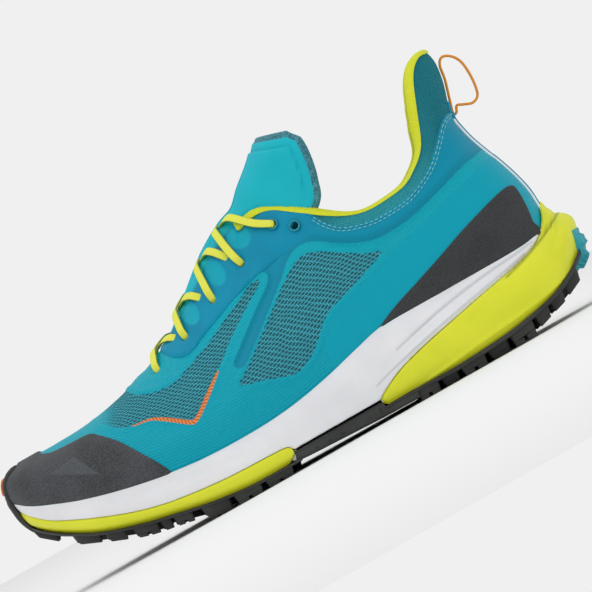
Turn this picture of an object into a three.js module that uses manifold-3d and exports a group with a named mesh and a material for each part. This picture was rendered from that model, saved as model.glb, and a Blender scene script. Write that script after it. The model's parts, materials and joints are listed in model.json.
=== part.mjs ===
// Trail running shoe, left foot. Millimetres, +Z up, toe towards -X, outer side towards -Y.
import * as THREE from 'three';
import { mergeVertices } from 'three/addons/utils/BufferGeometryUtils.js';
import Module from 'manifold-3d';

const wasm = await Module();
wasm.setup();

// Driving sizes
const LENGTH = 300; // toe bumper to back of heel
const BALL_WIDTH = 112; // sole at its widest
const HEIGHT = 146; // floor to the top of the tongue
const WALL = 2.2; // knit with its film
const GAP = 0.3; // between pieces that are glued or sewn in the real shoe
const PADDING = 4.5; // collar lining with its foam
const INSOLE_THICK = 4;
const LASTING_MARGIN = 9; // width of the upper's turned-in edge under the foot
const MARGIN_THICK = 1.2;
const AROUND = 40; // points in each ring round the shoe
const FINENESS = 0.12; // details smaller than this are dropped from the solids
const FAR = 1.5 * LENGTH; // reach of a cutter past the shoe

// Small helpers for tables and smooth curves
const table = (columns, rows) =>
  rows.map((row) => Object.fromEntries(columns.map((name, i) => [name, row[i]])));

function smooth(points) {
  const slope = points.map((p, i) => {
    const before = points[Math.max(i - 1, 0)];
    const after = points[Math.min(i + 1, points.length - 1)];
    return (after[1] - before[1]) / (after[0] - before[0]);
  });
  return (at) => {
    const last = points.length - 1;
    if (at <= points[0][0]) return points[0][1];
    if (at >= points[last][0]) return points[last][1];
    let i = 0;
    while (points[i + 1][0] < at) i += 1;
    const span = points[i + 1][0] - points[i][0];
    const t = (at - points[i][0]) / span;
    const rise = points[i + 1][1] - points[i][1];
    const ease = t * t * (3 - 2 * t);
    const bend = t * (1 - t);
    return points[i][1] + rise * ease + span * bend * (slope[i] * (1 - t) - slope[i + 1] * t);
  };
}

// A share of the length as an angle, which makes both ends of an outline round
const angleOf = (share) => Math.acos(1 - 2 * Math.min(Math.max(share, 0), 1));

// sign -1 for widths, which vanish at toe and heel, and 1 for what carries on past them
function endToEnd(rows, column, size, sign) {
  const points = rows.map((row) => [angleOf(row.along), row[column] * size]);
  const first = points[1];
  const last = points[points.length - 2];
  points.unshift([-first[0], sign * first[1]]);
  points.push([2 * Math.PI - last[0], sign * last[1]]);
  const curve = smooth(points);
  return (share) => curve(angleOf(share));
}

const line = (rows, from, to, fromSize, toSize) =>
  smooth(rows.map((row) => [row[from] * fromSize, row[to] * toSize]));

// Sole outline from above: along in shares of LENGTH, middle and half in shares of BALL_WIDTH
const SOLE_PLAN = table(
  ['along', 'middle', 'half'],
  [
    [0, 0.07, 0],
    [0.03, 0.068, 0.232],
    [0.07, 0.062, 0.334],
    [0.13, 0.05, 0.415],
    [0.2, 0.033, 0.462],
    [0.28, 0.012, 0.49],
    [0.35, 0, 0.5],
    [0.42, -0.012, 0.48],
    [0.5, -0.022, 0.43],
    [0.6, -0.022, 0.39],
    [0.7, -0.01, 0.389],
    [0.79, 0, 0.405],
    [0.87, 0, 0.388],
    [0.93, 0, 0.32],
    [0.97, 0, 0.222],
    [1, 0, 0],
  ],
);

// Upper sections: along in shares of its own length, foot in shares of BALL_WIDTH,
// widest, shoulder and crown in shares of the foot line's half width
const UPPER_PLAN = table(
  ['along', 'middle', 'foot', 'widest', 'shoulder', 'crown'],
  [
    [0, 0.07, 0, 1.02, 0.86, 0.4],
    [0.03, 0.068, 0.215, 1.02, 0.86, 0.4],
    [0.07, 0.062, 0.304, 1.02, 0.85, 0.36],
    [0.13, 0.05, 0.38, 1.02, 0.8, 0.3],
    [0.2, 0.034, 0.424, 1.02, 0.73, 0.25],
    [0.28, 0.014, 0.45, 1.01, 0.66, 0.21],
    [0.35, 0.002, 0.46, 1, 0.6, 0.19],
    [0.43, -0.01, 0.433, 0.98, 0.54, 0.19],
    [0.52, -0.018, 0.384, 0.97, 0.52, 0.22],
    [0.62, -0.018, 0.34, 0.97, 0.56, 0.27],
    [0.72, -0.009, 0.322, 0.97, 0.7, 0.42],
    [0.82, 0, 0.326, 0.98, 0.82, 0.58],
    [0.9, 0, 0.304, 0.99, 0.82, 0.6],
    [0.96, 0, 0.224, 0.99, 0.82, 0.62],
    [1, 0, 0, 0.99, 0.82, 0.62],
  ],
);

// Heights along the shoe: along in shares of LENGTH, the rest in shares of HEIGHT
const HEIGHTS = table(
  ['along', 'tread', 'base', 'rim', 'foot', 'ridge'],
  [
    [0.005, 0.27, 0.32, 0.372, 0.36, 0.452],
    [0.015, 0.235, 0.272, 0.358, 0.348, 0.453],
    [0.035, 0.195, 0.232, 0.329, 0.319, 0.456],
    [0.07, 0.145, 0.186, 0.298, 0.288, 0.457],
    [0.115, 0.104, 0.141, 0.264, 0.254, 0.457],
    [0.18, 0.055, 0.1, 0.228, 0.218, 0.464],
    [0.25, 0.028, 0.069, 0.2, 0.19, 0.494],
    [0.29, 0.006, 0.053, 0.19, 0.18, 0.522],
    [0.31, 0, 0.047, 0.186, 0.176, 0.533],
    [0.36, 0, 0.037, 0.182, 0.172, 0.582],
    [0.425, 0, 0.036, 0.184, 0.174, 0.672],
    [0.48, 0.014, 0.039, 0.195, 0.185, 0.752],
    [0.54, 0.02, 0.042, 0.218, 0.208, 0.82],
    [0.6, 0.02, 0.045, 0.249, 0.239, 0.876],
    [0.65, 0, 0.047, 0.272, 0.262, 0.914],
    [0.72, 0, 0.045, 0.275, 0.265, 0.955],
    [0.8, 0, 0.054, 0.273, 0.263, 0.985],
    [0.835, 0, 0.062, 0.273, 0.263, 1],
    [0.885, 0.03, 0.08, 0.274, 0.264, 1.003],
    [0.92, 0.052, 0.1, 0.28, 0.268, 1.003],
    [0.95, 0.078, 0.13, 0.3, 0.27, 1.003],
    [0.97, 0.105, 0.158, 0.375, 0.272, 1.003],
    [0.985, 0.14, 0.183, 0.39, 0.272, 1.003],
    [1, 0.17, 0.212, 0.39, 0.272, 1.003],
  ],
);

const treadAt = line(HEIGHTS, 'along', 'tread', LENGTH, HEIGHT);
const baseAt = line(HEIGHTS, 'along', 'base', LENGTH, HEIGHT);
const rimAt = line(HEIGHTS, 'along', 'rim', LENGTH, HEIGHT);
const footAt = line(HEIGHTS, 'along', 'foot', LENGTH, HEIGHT);
const ridgeAt = line(HEIGHTS, 'along', 'ridge', LENGTH, HEIGHT);

// Back of the heel from the side: up in shares of HEIGHT, back in shares of LENGTH
const HEEL_BACK = table(
  ['up', 'back'],
  [
    [0.27, 0.962],
    [0.4, 0.961],
    [0.45, 0.957],
    [0.52, 0.947],
    [0.59, 0.934],
    [0.65, 0.923],
    [0.7, 0.9165],
    [0.745, 0.913],
    [0.79, 0.919],
    [0.86, 0.929],
    [0.93, 0.933],
    [0.98, 0.927],
    [1.01, 0.92],
  ],
);
const heelBackAt = line(HEEL_BACK, 'up', 'back', HEIGHT, LENGTH);

// Front of the toe, from the foot line up to the crown, in shares of LENGTH
const TOE_FRONT = table(
  ['up', 'front'],
  [
    [0, 0.0125],
    [0.32, 0.011],
    [0.8, 0.021],
    [1, 0.05],
  ],
);
const toeFrontAt = line(TOE_FRONT, 'up', 'front', 1, LENGTH);

// Section of the upper: how high its widest place and shoulder are between foot line and crown
const WIDEST_UP = 0.32;
const SHOULDER_UP = 0.8;
const WIDEST_STEP = 0.3;
const SHOULDER_STEP = 0.74;
const LEVELS = [0, 0.15, 0.3, 0.45, 0.57, 0.66, 0.76, 0.88, 1];
const riseAt = smooth([
  [0, 0],
  [WIDEST_STEP, WIDEST_UP],
  [SHOULDER_STEP, SHOULDER_UP],
  [1, 1],
  [2 - SHOULDER_STEP, SHOULDER_UP],
]);

const upperMiddle = endToEnd(UPPER_PLAN, 'middle', BALL_WIDTH, 1);
const footHalf = endToEnd(UPPER_PLAN, 'foot', BALL_WIDTH, -1);
const widestShare = endToEnd(UPPER_PLAN, 'widest', 1, 1);
const shoulderShare = endToEnd(UPPER_PLAN, 'shoulder', 1, 1);
const crownShare = endToEnd(UPPER_PLAN, 'crown', 1, 1);

// Half width of the upper at a level, from its foot line (0) to its crown (1)
function halfAt(share, level) {
  const crown = crownShare(share);
  const spread = smooth([
    [0, 1],
    [WIDEST_STEP, widestShare(share)],
    [SHOULDER_STEP, shoulderShare(share)],
    [1, crown],
    [2 - SHOULDER_STEP, 2 * crown - shoulderShare(share)],
  ]);
  return footHalf(share) * spread(level);
}

// Front and back of the upper at a level
function endsAt(level) {
  const rise = riseAt(level);
  const low = footAt(LENGTH);
  const up = low + rise * (ridgeAt(LENGTH) - low);
  return [toeFrontAt(rise), heelBackAt(up)];
}

// side is -1 for the outer side of the foot and 1 for the inner side
function upperPoint(share, level, side) {
  const [front, back] = endsAt(level);
  const x = front + share * (back - front);
  const y = upperMiddle(share) + side * halfAt(share, level);
  const z = footAt(x) + riseAt(level) * (ridgeAt(x) - footAt(x));
  return new THREE.Vector3(x, y, z);
}

// A ring starts at the toe, runs along the outer side to the heel and back along the inner side
function ring(pointAt) {
  const points = [];
  for (let i = 0; i < AROUND; i += 1) {
    const turn = (2 * Math.PI * i) / AROUND;
    const side = turn <= Math.PI ? -1 : 1;
    points.push(pointAt((1 - Math.cos(turn)) / 2, side));
  }
  return points;
}

// Outward directions on a stack of rings, from its neighbours round the ring and up the stack
function outward(rings) {
  return rings.map((points, level) =>
    points.map((_, i) => {
      const ahead = points[(i + 1) % AROUND];
      const behind = points[(i + AROUND - 1) % AROUND];
      const above = rings[Math.min(level + 1, rings.length - 1)][i];
      const below = rings[Math.max(level - 1, 0)][i];
      const round = ahead.clone().sub(behind);
      return round.cross(above.clone().sub(below)).normalize();
    }),
  );
}

// The same ring moved sideways by distance, outward where it is positive
function widened(points, distance) {
  return points.map((point, i) => {
    const ahead = points[(i + 1) % AROUND];
    const behind = points[(i + AROUND - 1) % AROUND];
    const away = new THREE.Vector3(ahead.y - behind.y, behind.x - ahead.x, 0).normalize();
    return point.clone().addScaledVector(away, distance);
  });
}

// Closed solid from a stack of rings, lowest first, closed straight across at both ends
function stackSolid(rings) {
  const flat = rings.flat();
  const index = [];
  const top = (rings.length - 1) * AROUND;
  for (let level = 0; level < rings.length - 1; level += 1) {
    for (let i = 0; i < AROUND; i += 1) {
      const a = level * AROUND + i;
      const b = level * AROUND + ((i + 1) % AROUND);
      index.push(a, b, b + AROUND, a, b + AROUND, a + AROUND);
    }
  }
  for (let i = 0; i < AROUND / 2; i += 1) {
    const across = (AROUND - i) % AROUND;
    const next = AROUND - i - 1;
    if (i > 0) index.push(top + i, top + i + 1, top + across, across, i + 1, i);
    if (i + 1 < next) index.push(top + i + 1, top + next, top + across, across, next, i + 1);
  }
  const geometry = new THREE.BufferGeometry();
  const position = flat.flatMap((point) => [point.x, point.y, point.z]);
  geometry.setAttribute('position', new THREE.Float32BufferAttribute(position, 3));
  geometry.setIndex(index);
  return solidOf(geometry);
}

function solidOf(geometry) {
  geometry.deleteAttribute('normal');
  geometry.deleteAttribute('uv');
  const merged = mergeVertices(geometry, 1e-4);
  const solid = new wasm.Manifold(
    new wasm.Mesh({
      numProp: 3,
      vertProperties: new Float32Array(merged.attributes.position.array),
      triVerts: new Uint32Array(merged.index.array),
    }),
  );
  return solid.volume() < 0 ? solidOf(turned(merged)) : solid;
}

// The same surface with its faces turned over
function turned(geometry) {
  const index = geometry.index.array;
  for (let i = 0; i < index.length; i += 3) [index[i], index[i + 1]] = [index[i + 1], index[i]];
  return geometry;
}

// The space inside the upper's own surface, grown by offset. The floor is dished for the foot,
// and sink lowers it further.
const DISH = 3.5;
const FLOOR_RINGS = [0.45, 0.8];
function upperForm(offset, sink = 0) {
  const skin = LEVELS.map((level) => ring((share, side) => upperPoint(share, level, side)));
  const away = outward(skin);
  const grown = skin.map((points, level) =>
    points.map((point, i) => point.clone().addScaledVector(away[level][i], offset)),
  );
  const foot = widened(skin[0], offset);
  foot.forEach((point) => {
    point.z = footAt(point.x) - sink - offset;
  });
  const floor = FLOOR_RINGS.map((size) =>
    foot.map((point, i) => {
      const share = (1 - Math.cos((2 * Math.PI * i) / AROUND)) / 2;
      const centre = upperMiddle(share);
      const dish = DISH * (1 - size * size) * Math.sin(Math.PI * share);
      return new THREE.Vector3(point.x, centre + (point.y - centre) * size, point.z - dish);
    }),
  );
  if (sink + offset <= 0) return stackSolid([...floor, foot, ...grown.slice(1)]);
  const wall = widened(skin[0], offset);
  return stackSolid([...floor, foot, wall, ...grown.slice(1)]);
}

// Cutters: an outline seen from the side (x, z) or from above (x, y), made into a bar
function outlineBar(points, depth) {
  const shape = new THREE.Shape(points.map(([a, b]) => new THREE.Vector2(a, b)));
  return new THREE.ExtrudeGeometry(shape, { depth, bevelEnabled: false, steps: 1 });
}

function sideBar(points, from = -FAR, to = FAR) {
  const bar = outlineBar(points, to - from);
  bar.rotateX(Math.PI / 2);
  bar.translate(0, to, 0);
  return solidOf(bar);
}

function planBar(points, from = -FAR, to = FAR) {
  const bar = outlineBar(points, to - from);
  bar.translate(0, 0, from);
  return solidOf(bar);
}

const box = (x0, x1, y0, y1, z0, z1) => {
  const block = new THREE.BoxGeometry(x1 - x0, y1 - y0, z1 - z0);
  block.translate((x0 + x1) / 2, (y0 + y1) / 2, (z0 + z1) / 2);
  return solidOf(block);
};

// Points along a smooth line through a table's rows, from its first row to its last
function sampled(rows, a, b, sizeA, sizeB, count) {
  const along = smooth(rows.map((row, i) => [i, row[a] * sizeA]));
  const other = smooth(rows.map((row, i) => [i, row[b] * sizeB]));
  const points = [];
  for (let k = 0; k <= count; k += 1) {
    const step = (k * (rows.length - 1)) / count;
    points.push([along(step), other(step)]);
  }
  return points;
}

const sideTable = (rows) => table(['along', 'up'], rows);
const sideLine = (rows, count) => sampled(rows, 'along', 'up', LENGTH, HEIGHT, count);

// An outline moved sideways, to its left as it runs
const moved = (points, shift) =>
  points.map(([x, z], i) => {
    const [x0, z0] = points[Math.max(i - 1, 0)];
    const [x1, z1] = points[Math.min(i + 1, points.length - 1)];
    const size = Math.hypot(x1 - x0, z1 - z0);
    return [x - ((z1 - z0) / size) * shift, z + ((x1 - x0) / size) * shift];
  });

// Collar edge of the outer side from the eyestay down and up to the heel tab
const COLLAR_LINE = sideTable([
  [0.53, 0.765],
  [0.56, 0.789],
  [0.597, 0.788],
  [0.625, 0.757],
  [0.65, 0.701],
  [0.677, 0.664],
  [0.71, 0.632],
  [0.75, 0.617],
  [0.79, 0.627],
  [0.817, 0.658],
  [0.837, 0.692],
  [0.85, 0.733],
  [0.866, 0.815],
  [0.883, 0.897],
  [0.897, 0.938],
  [0.913, 0.957],
  [0.928, 0.953],
]);
const TAB_BACK = 25; // how far the cut over the tab runs on behind it
const COLLAR_RISE = 2;
const COLLAR_TILT = 0.06; // the inner ankle stands higher than the outer one

// Everything above a line round the ankle, raised by lift square to itself and lowered by drop.
// The line leans with the ankle.
function aboveLine(rows, count, lift = 0, drop = 0) {
  const edge = moved(sideLine(rows, count), lift).map(([x, z]) => [x, z - drop]);
  const first = edge[0];
  const last = edge[edge.length - 1];
  const outline = [...edge, [last[0] + TAB_BACK, last[1]], [last[0] + TAB_BACK, FAR], [first[0], FAR]];
  const shape = outlineBar(outline, 2 * FAR);
  shape.rotateX(Math.PI / 2);
  shape.translate(0, FAR, 0);
  const place = shape.attributes.position;
  for (let i = 0; i < place.count; i += 1) {
    place.setZ(i, place.getZ(i) + COLLAR_TILT * place.getY(i) + COLLAR_RISE);
  }
  return solidOf(shape);
}

const aboveCollar = (lift = 0, drop = 0) => aboveLine(COLLAR_LINE, 22, lift, drop);

// Seam where the film of the shell ends and the knitted cuff steps in under the collar
const CUFF_LINE = sideTable([
  [0.655, 0.7],
  [0.657, 0.645],
  [0.677, 0.608],
  [0.717, 0.584],
  [0.75, 0.582],
  [0.79, 0.591],
  [0.837, 0.637],
  [0.87, 0.699],
  [0.893, 0.745],
  [0.905, 0.742],
]);
const CUFF_STEP = 0.7;

// Throat opening from above: along in shares of LENGTH, half in shares of BALL_WIDTH
const THROAT = table(
  ['along', 'half'],
  [
    [0.298, 0],
    [0.302, 0.04],
    [0.32, 0.075],
    [0.37, 0.1],
    [0.44, 0.115],
    [0.51, 0.13],
    [0.57, 0.155],
    [0.62, 0.2],
    [0.66, 0.235],
  ],
);

function throatBar(grow = 0) {
  const edge = sampled(THROAT, 'along', 'half', LENGTH, BALL_WIDTH, 14);
  const reach = (half) => Math.max(half + grow, 0.5);
  const outer = edge.map(([x, half], i) => [x - (i < 3 ? grow : 0), -reach(half)]);
  const inner = edge.map(([x, half], i) => [x - (i < 3 ? grow : 0), reach(half)]).reverse();
  return planBar([...outer, ...inner], 0.38 * HEIGHT, FAR);
}

// Eyelets, outer side, from the toe upwards
const EYELETS = sideTable([
  [0.314, 0.503],
  [0.378, 0.551],
  [0.444, 0.61],
  [0.51, 0.671],
  [0.583, 0.726],
  [0.612, 0.687],
]);
const EYELET_RADIUS = 2;

// A place on the upper at a given x and height, found by stepping up its section
function upperAt(x, up, side, offset = 0) {
  let level = 0;
  let point = upperPoint(0.5, 0, side);
  const place = (at) => {
    const [front, back] = endsAt(at);
    return upperPoint((x - front) / (back - front), at, side);
  };
  while (level < 1 && point.z < up) {
    level += 0.004;
    point = place(level);
  }
  const across = place(Math.min(level + 0.02, 1)).sub(place(level - 0.02));
  const away = new THREE.Vector3(0, side * across.z, -side * across.y).normalize();
  return { point: point.addScaledVector(away, offset), away };
}

function eyeletBars() {
  const bars = [];
  for (const side of [-1, 1]) {
    for (const { along, up } of EYELETS) {
      const { point, away } = upperAt(along * LENGTH, up * HEIGHT, side);
      const bar = new THREE.CylinderGeometry(EYELET_RADIUS, EYELET_RADIUS, 12, 8);
      const turn = new THREE.Quaternion().setFromUnitVectors(new THREE.Vector3(0, 1, 0), away);
      bar.applyQuaternion(turn);
      bar.translate(point.x, point.y, point.z);
      bars.push(solidOf(bar));
    }
  }
  return wasm.Manifold.union(bars);
}

// Foam of the sole as one body, grown by offset: rings from its base up to its rim
const SOLE_FRONT = 0.0107 * LENGTH; // the toe bumper stands in front of the foam
const SOLE_BACK = 0.998 * LENGTH; // and the heel lugs a little behind it
const soleMiddle = endToEnd(SOLE_PLAN, 'middle', BALL_WIDTH, 1);
const soleHalf = endToEnd(SOLE_PLAN, 'half', BALL_WIDTH, -1);
const soleRing = () =>
  ring((share, side) => {
    const x = SOLE_FRONT + share * (SOLE_BACK - SOLE_FRONT);
    return new THREE.Vector3(x, soleMiddle(share) + side * soleHalf(share), 0);
  });
const RIM_LEDGE = 1.4; // the foam stands out past the upper by this at its rim
const FOAM_LEVELS = table(
  ['up', 'inset', 'lean'],
  [
    [0, 3.2, 0],
    [0.16, 0.9, 0],
    [0.42, 0, 0],
    [0.66, 0, 0.16],
    [0.92, 0, 0.8],
    [1, 0.5, 1],
  ],
);

function foamForm(offset) {
  const sole = soleRing();
  const foot = ring((share, side) => upperPoint(share, 0, side));
  const rim = widened(foot, RIM_LEDGE);
  const levels = FOAM_LEVELS.map(({ up, inset, lean }) => {
    const mixed = sole.map((point, i) => point.clone().lerp(rim[i], lean));
    const points = widened(mixed, offset - inset);
    points.forEach((point) => {
      const low = baseAt(point.x);
      const ends = (up === 0 ? -offset : 0) + (up === 1 ? offset : 0);
      point.z = low + up * (rimAt(point.x) - low) + ends;
    });
    return points;
  });
  return stackSolid(levels);
}

// Straight column over the sole's outline, moved in by inset
function soleColumn(inset, from, to) {
  const low = widened(soleRing(), -inset);
  const at = (z) => low.map((point) => new THREE.Vector3(point.x, point.y, z));
  return stackSolid([at(from), at(to)]);
}

// Forefoot layer of lime foam, seen from the side
const FOREFOOT_TOP = sideTable([
  [0.004, 0.355],
  [0.02, 0.304],
  [0.05, 0.253],
  [0.083, 0.219],
  [0.117, 0.189],
  [0.167, 0.151],
  [0.217, 0.123],
  [0.267, 0.107],
  [0.333, 0.0945],
  [0.417, 0.089],
  [0.434, 0.084],
  [0.4395, 0.068],
  [0.437, 0.05],
  [0.425, 0.03],
]);

// Upper edge of the heel wedge, seen from the side, from its point to the tip behind the heel
const WEDGE_TOP = sideTable([
  [0.6, 0.03],
  [0.597, 0.068],
  [0.617, 0.096],
  [0.65, 0.126],
  [0.7, 0.155],
  [0.75, 0.178],
  [0.8, 0.201],
  [0.85, 0.222],
  [0.883, 0.236],
  [0.917, 0.257],
  [0.935, 0.277],
  [0.943, 0.3],
  [0.947, 0.42],
]);

const forefootBar = (shift) => {
  const edge = moved(sideLine(FOREFOOT_TOP, 20), shift);
  return sideBar([...edge, [edge[20][0], -FAR], [-FAR, -FAR], [-FAR, edge[0][1]]]);
};

const wedgeBar = (shift) => {
  const edge = moved(sideLine(WEDGE_TOP, 18), shift);
  return sideBar([...edge, [edge[18][0], FAR], [FAR, FAR], [FAR, -FAR], [edge[0][0], -FAR]]);
};

// Midfoot bridge of the outsole
const BRIDGE_FROM = 0.4435 * LENGTH;
const BRIDGE_TO = 0.5965 * LENGTH;
const BRIDGE_TOP = 0.067 * HEIGHT;
const BRIDGE_LOW = 0.018 * HEIGHT;
const TIE = 4; // how far it runs on under the foam at both ends
const bridgeBox = (grow, low) =>
  box(BRIDGE_FROM - grow, BRIDGE_TO + grow, -FAR, FAR, low, BRIDGE_TOP + grow);

// Lugs: from and to in shares of LENGTH, inner is the count between the two edge lugs
const LUG_ROWS = table(
  ['from', 'to', 'inner'],
  [
    [0.018, 0.048, 0],
    [0.074, 0.108, 1],
    [0.12, 0.147, 2],
    [0.162, 0.198, 1],
    [0.204, 0.221, 2],
    [0.227, 0.256, 3],
    [0.273, 0.303, 2],
    [0.315, 0.342, 3],
    [0.352, 0.379, 2],
    [0.389, 0.424, 3],
    [0.65, 0.685, 2],
    [0.695, 0.72, 1],
    [0.731, 0.77, 2],
    [0.782, 0.812, 1],
    [0.823, 0.857, 2],
    [0.869, 0.89, 1],
    [0.898, 0.923, 2],
  ],
);
const EDGE_LUG = 12;
const INNER_LUG = 9;
const LUG_TAPER = 0.84;
const SHEET = 1.7; // thickness of the rubber between the lugs
const SHEET_INSET = 2.6; // its edge lies in from the widest line of the sole by this

function lug(from, to, y, wide) {
  const block = new THREE.BoxGeometry(to - from, wide, 10);
  block.translate((from + to) / 2, y, 5);
  const place = block.attributes.position;
  for (let i = 0; i < place.count; i += 1) {
    const low = place.getZ(i) < 5;
    const x = (from + to) / 2 + (place.getX(i) - (from + to) / 2) * (low ? LUG_TAPER : 1);
    const across = y + (place.getY(i) - y) * (low ? LUG_TAPER : 1);
    place.setXYZ(i, x, across, low ? Math.max(treadAt(x), 0) : baseAt(x) - 0.5);
  }
  return solidOf(block);
}

function lugs() {
  const blocks = [];
  for (const row of LUG_ROWS) {
    const from = row.from * LENGTH;
    const to = row.to * LENGTH;
    const shares = [from, to].map((x) => (x - SOLE_FRONT) / (SOLE_BACK - SOLE_FRONT));
    const half = Math.min(...shares.map(soleHalf)) - 3;
    const middle = soleMiddle((shares[0] + shares[1]) / 2);
    const edge = Math.min(EDGE_LUG, half * 0.7);
    blocks.push(lug(from, to, middle - half + edge / 2, edge));
    blocks.push(lug(from, to, middle + half - edge / 2, edge));
    const room = 2 * (half - edge);
    for (let k = 0; k < row.inner; k += 1) {
      const y = middle + ((k + 0.5) / row.inner - 0.5) * room;
      blocks.push(lug(from + 1, to - 1, y, INNER_LUG));
    }
  }
  return wasm.Manifold.union(blocks);
}

// Upper with its turned-in margin under the foot; grow makes the room it needs around it
function upperShell(grow = 0) {
  const inside = upperForm(-WALL - grow, WALL - MARGIN_THICK);
  const foot = ring((share, side) => upperPoint(share, 0, side));
  const edge = widened(foot, -LASTING_MARGIN + grow);
  const atHeight = (z) => edge.map((point) => new THREE.Vector3(point.x, point.y, z));
  const opening = stackSolid([atHeight(-FAR), atHeight(FAR)]).intersect(upperForm(-WALL, 12));
  return upperForm(grow)
    .subtract(inside)
    .subtract(opening)
    .subtract(aboveCollar(grow))
    .subtract(throatBar(-grow));
}

// Collar lining: padding inside the ankle and a thin roll over the edge of the upper
const LINING_DEPTH = 38;
const ROLL = 3;
const ROLL_THICK = 1;
const PADDING_FROM = 0.645 * LENGTH;
function collarLining(grow = 0) {
  const band = (outer, inner, low) =>
    upperForm(outer + grow)
      .subtract(upperForm(inner - grow, 5))
      .intersect(low)
      .subtract(aboveCollar(ROLL + grow));
  const roll = band(0, -WALL - GAP - ROLL_THICK, aboveCollar(GAP - grow));
  const padding = band(-WALL - GAP, -WALL - GAP - PADDING, aboveCollar(0, LINING_DEPTH + grow));
  const ankle = padding.intersect(box(PADDING_FROM - grow, LENGTH, -FAR, FAR, -FAR, FAR));
  const behindThroat = box(COLLAR_LINE[0].along * LENGTH + 2 * GAP - grow, FAR, -FAR, FAR, -FAR, FAR);
  return roll.add(ankle).intersect(behindThroat).subtract(throatBar(GAP - grow));
}

// Solid of the height of the shoe whose floor follows the footbed
function overFootbed(lift) {
  const foot = widened(ring((share, side) => upperPoint(share, 0, side)), 6);
  const at = (size, dish) =>
    foot.map((point, i) => {
      const share = (1 - Math.cos((2 * Math.PI * i) / AROUND)) / 2;
      const centre = upperMiddle(share);
      const low = footAt(point.x) + lift - dish * Math.sin(Math.PI * share);
      return new THREE.Vector3(point.x, centre + (point.y - centre) * size, low);
    });
  const floor = FLOOR_RINGS.map((size) => at(size, DISH * (1 - size * size)));
  const top = foot.map((point) => new THREE.Vector3(point.x, point.y, FAR));
  return stackSolid([...floor, at(1, 0), top]);
}

function insoleSolid() {
  const under = MARGIN_THICK + GAP;
  const offset = -WALL - 2 * GAP;
  return upperForm(offset, -offset - under).subtract(overFootbed(under + INSOLE_THICK));
}

// A strip of rings of points joined in order; ends closed by pairing each ring's two halves
function loftSolid(sections, closed = false) {
  const count = sections[0].length;
  const flat = sections.flat();
  const index = [];
  const spans = closed ? sections.length : sections.length - 1;
  for (let k = 0; k < spans; k += 1) {
    for (let i = 0; i < count; i += 1) {
      const a = k * count + i;
      const b = k * count + ((i + 1) % count);
      const next = ((k + 1) % sections.length) * count;
      const c = next + ((i + 1) % count);
      const d = next + i;
      index.push(a, b, c, a, c, d);
    }
  }
  if (!closed) {
    const last = (sections.length - 1) * count;
    for (let i = 0; i < count / 2 - 1; i += 1) {
      const j = count - 1 - i;
      index.push(i, j, i + 1, i + 1, j, j - 1);
      index.push(last + i, last + i + 1, last + j, last + i + 1, last + j - 1, last + j);
    }
  }
  const geometry = new THREE.BufferGeometry();
  const position = flat.flatMap((point) => [point.x, point.y, point.z]);
  geometry.setAttribute('position', new THREE.Float32BufferAttribute(position, 3));
  geometry.setIndex(index);
  return solidOf(geometry);
}

// Tongue: its middle from the side, the edge of its wings from the side, half width, thickness
const TONGUE = table(
  ['along', 'up', 'wingAlong', 'wingUp', 'half', 'thick'],
  [
    [0.3, 0.488, 0.305, 0.455, 0.11, 3],
    [0.343, 0.53, 0.355, 0.48, 0.17, 4],
    [0.383, 0.583, 0.402, 0.507, 0.19, 4.6],
    [0.427, 0.65, 0.452, 0.55, 0.2, 5],
    [0.467, 0.707, 0.51, 0.585, 0.21, 5],
    [0.51, 0.77, 0.575, 0.63, 0.222, 5],
    [0.543, 0.837, 0.64, 0.695, 0.23, 5],
    [0.573, 0.888, 0.677, 0.78, 0.245, 5.4],
    [0.603, 0.945, 0.689, 0.872, 0.262, 5.4],
    [0.625, 0.985, 0.682, 0.945, 0.258, 3.6],
  ],
);
const TONGUE_ACROSS = 10;
const TONGUE_CURL = 1.25; // how far its section turns to each side, in radians

function tongueSolid() {
  const middle = TONGUE.map((row) =>
    Array.from({ length: TONGUE_ACROSS + 1 }, (_, i) => {
      const turn = ((2 * i) / TONGUE_ACROSS - 1) * TONGUE_CURL;
      const wing = (1 - Math.cos(turn)) / (1 - Math.cos(TONGUE_CURL));
      return new THREE.Vector3(
        (row.along + (row.wingAlong - row.along) * wing) * LENGTH,
        (row.half * BALL_WIDTH * Math.sin(turn)) / Math.sin(TONGUE_CURL),
        (row.up + (row.wingUp - row.up) * wing) * HEIGHT,
      );
    }),
  );
  const sections = middle.map((points, k) => {
    const after = middle[Math.min(k + 1, middle.length - 1)];
    const before = middle[Math.max(k - 1, 0)];
    const away = points.map((_, i) => {
      const left = points[Math.max(i - 1, 0)];
      const right = points[Math.min(i + 1, TONGUE_ACROSS)];
      const across = right.clone().sub(left);
      return after[i].clone().sub(before[i]).cross(across).normalize();
    });
    const skin = (direction) =>
      points.map((point, i) => {
        const out = Math.abs((2 * i) / TONGUE_ACROSS - 1);
        const thick = TONGUE[k].thick * (1 - 0.6 * out ** 4);
        return point.clone().addScaledVector(away[i], (direction * thick) / 2);
      });
    return [...skin(1), ...skin(-1).reverse()];
  });
  return loftSolid(sections);
}

// Height of the upper's surface over a place near its ridge
function crownAt(x, y) {
  let level = 1;
  const place = (at, side) => {
    const [front, back] = endsAt(at);
    return upperPoint((x - front) / (back - front), at, side);
  };
  const side = y < place(1, -1).y ? -1 : 1;
  const inside = (point) => (side < 0 ? point.y > y : point.y < y);
  if (place(1, -1).y <= y && place(1, 1).y >= y) return place(1, 1).z;
  while (level > 0.2 && inside(place(level, side))) level -= 0.002;
  return place(level, side).z;
}

// A flat lace lying along a route; lift raises it square to the surface
const LACE_WIDE = 4.6;
const LACE_THICK = 1.3;
const LACE_STEPS = 6;
const LACE_SECTION = table(
  ['across', 'up'],
  [
    [-1, 0],
    [-0.75, -1],
    [0.75, -1],
    [1, 0],
    [0.75, 1],
    [-0.75, 1],
  ],
);

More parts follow.
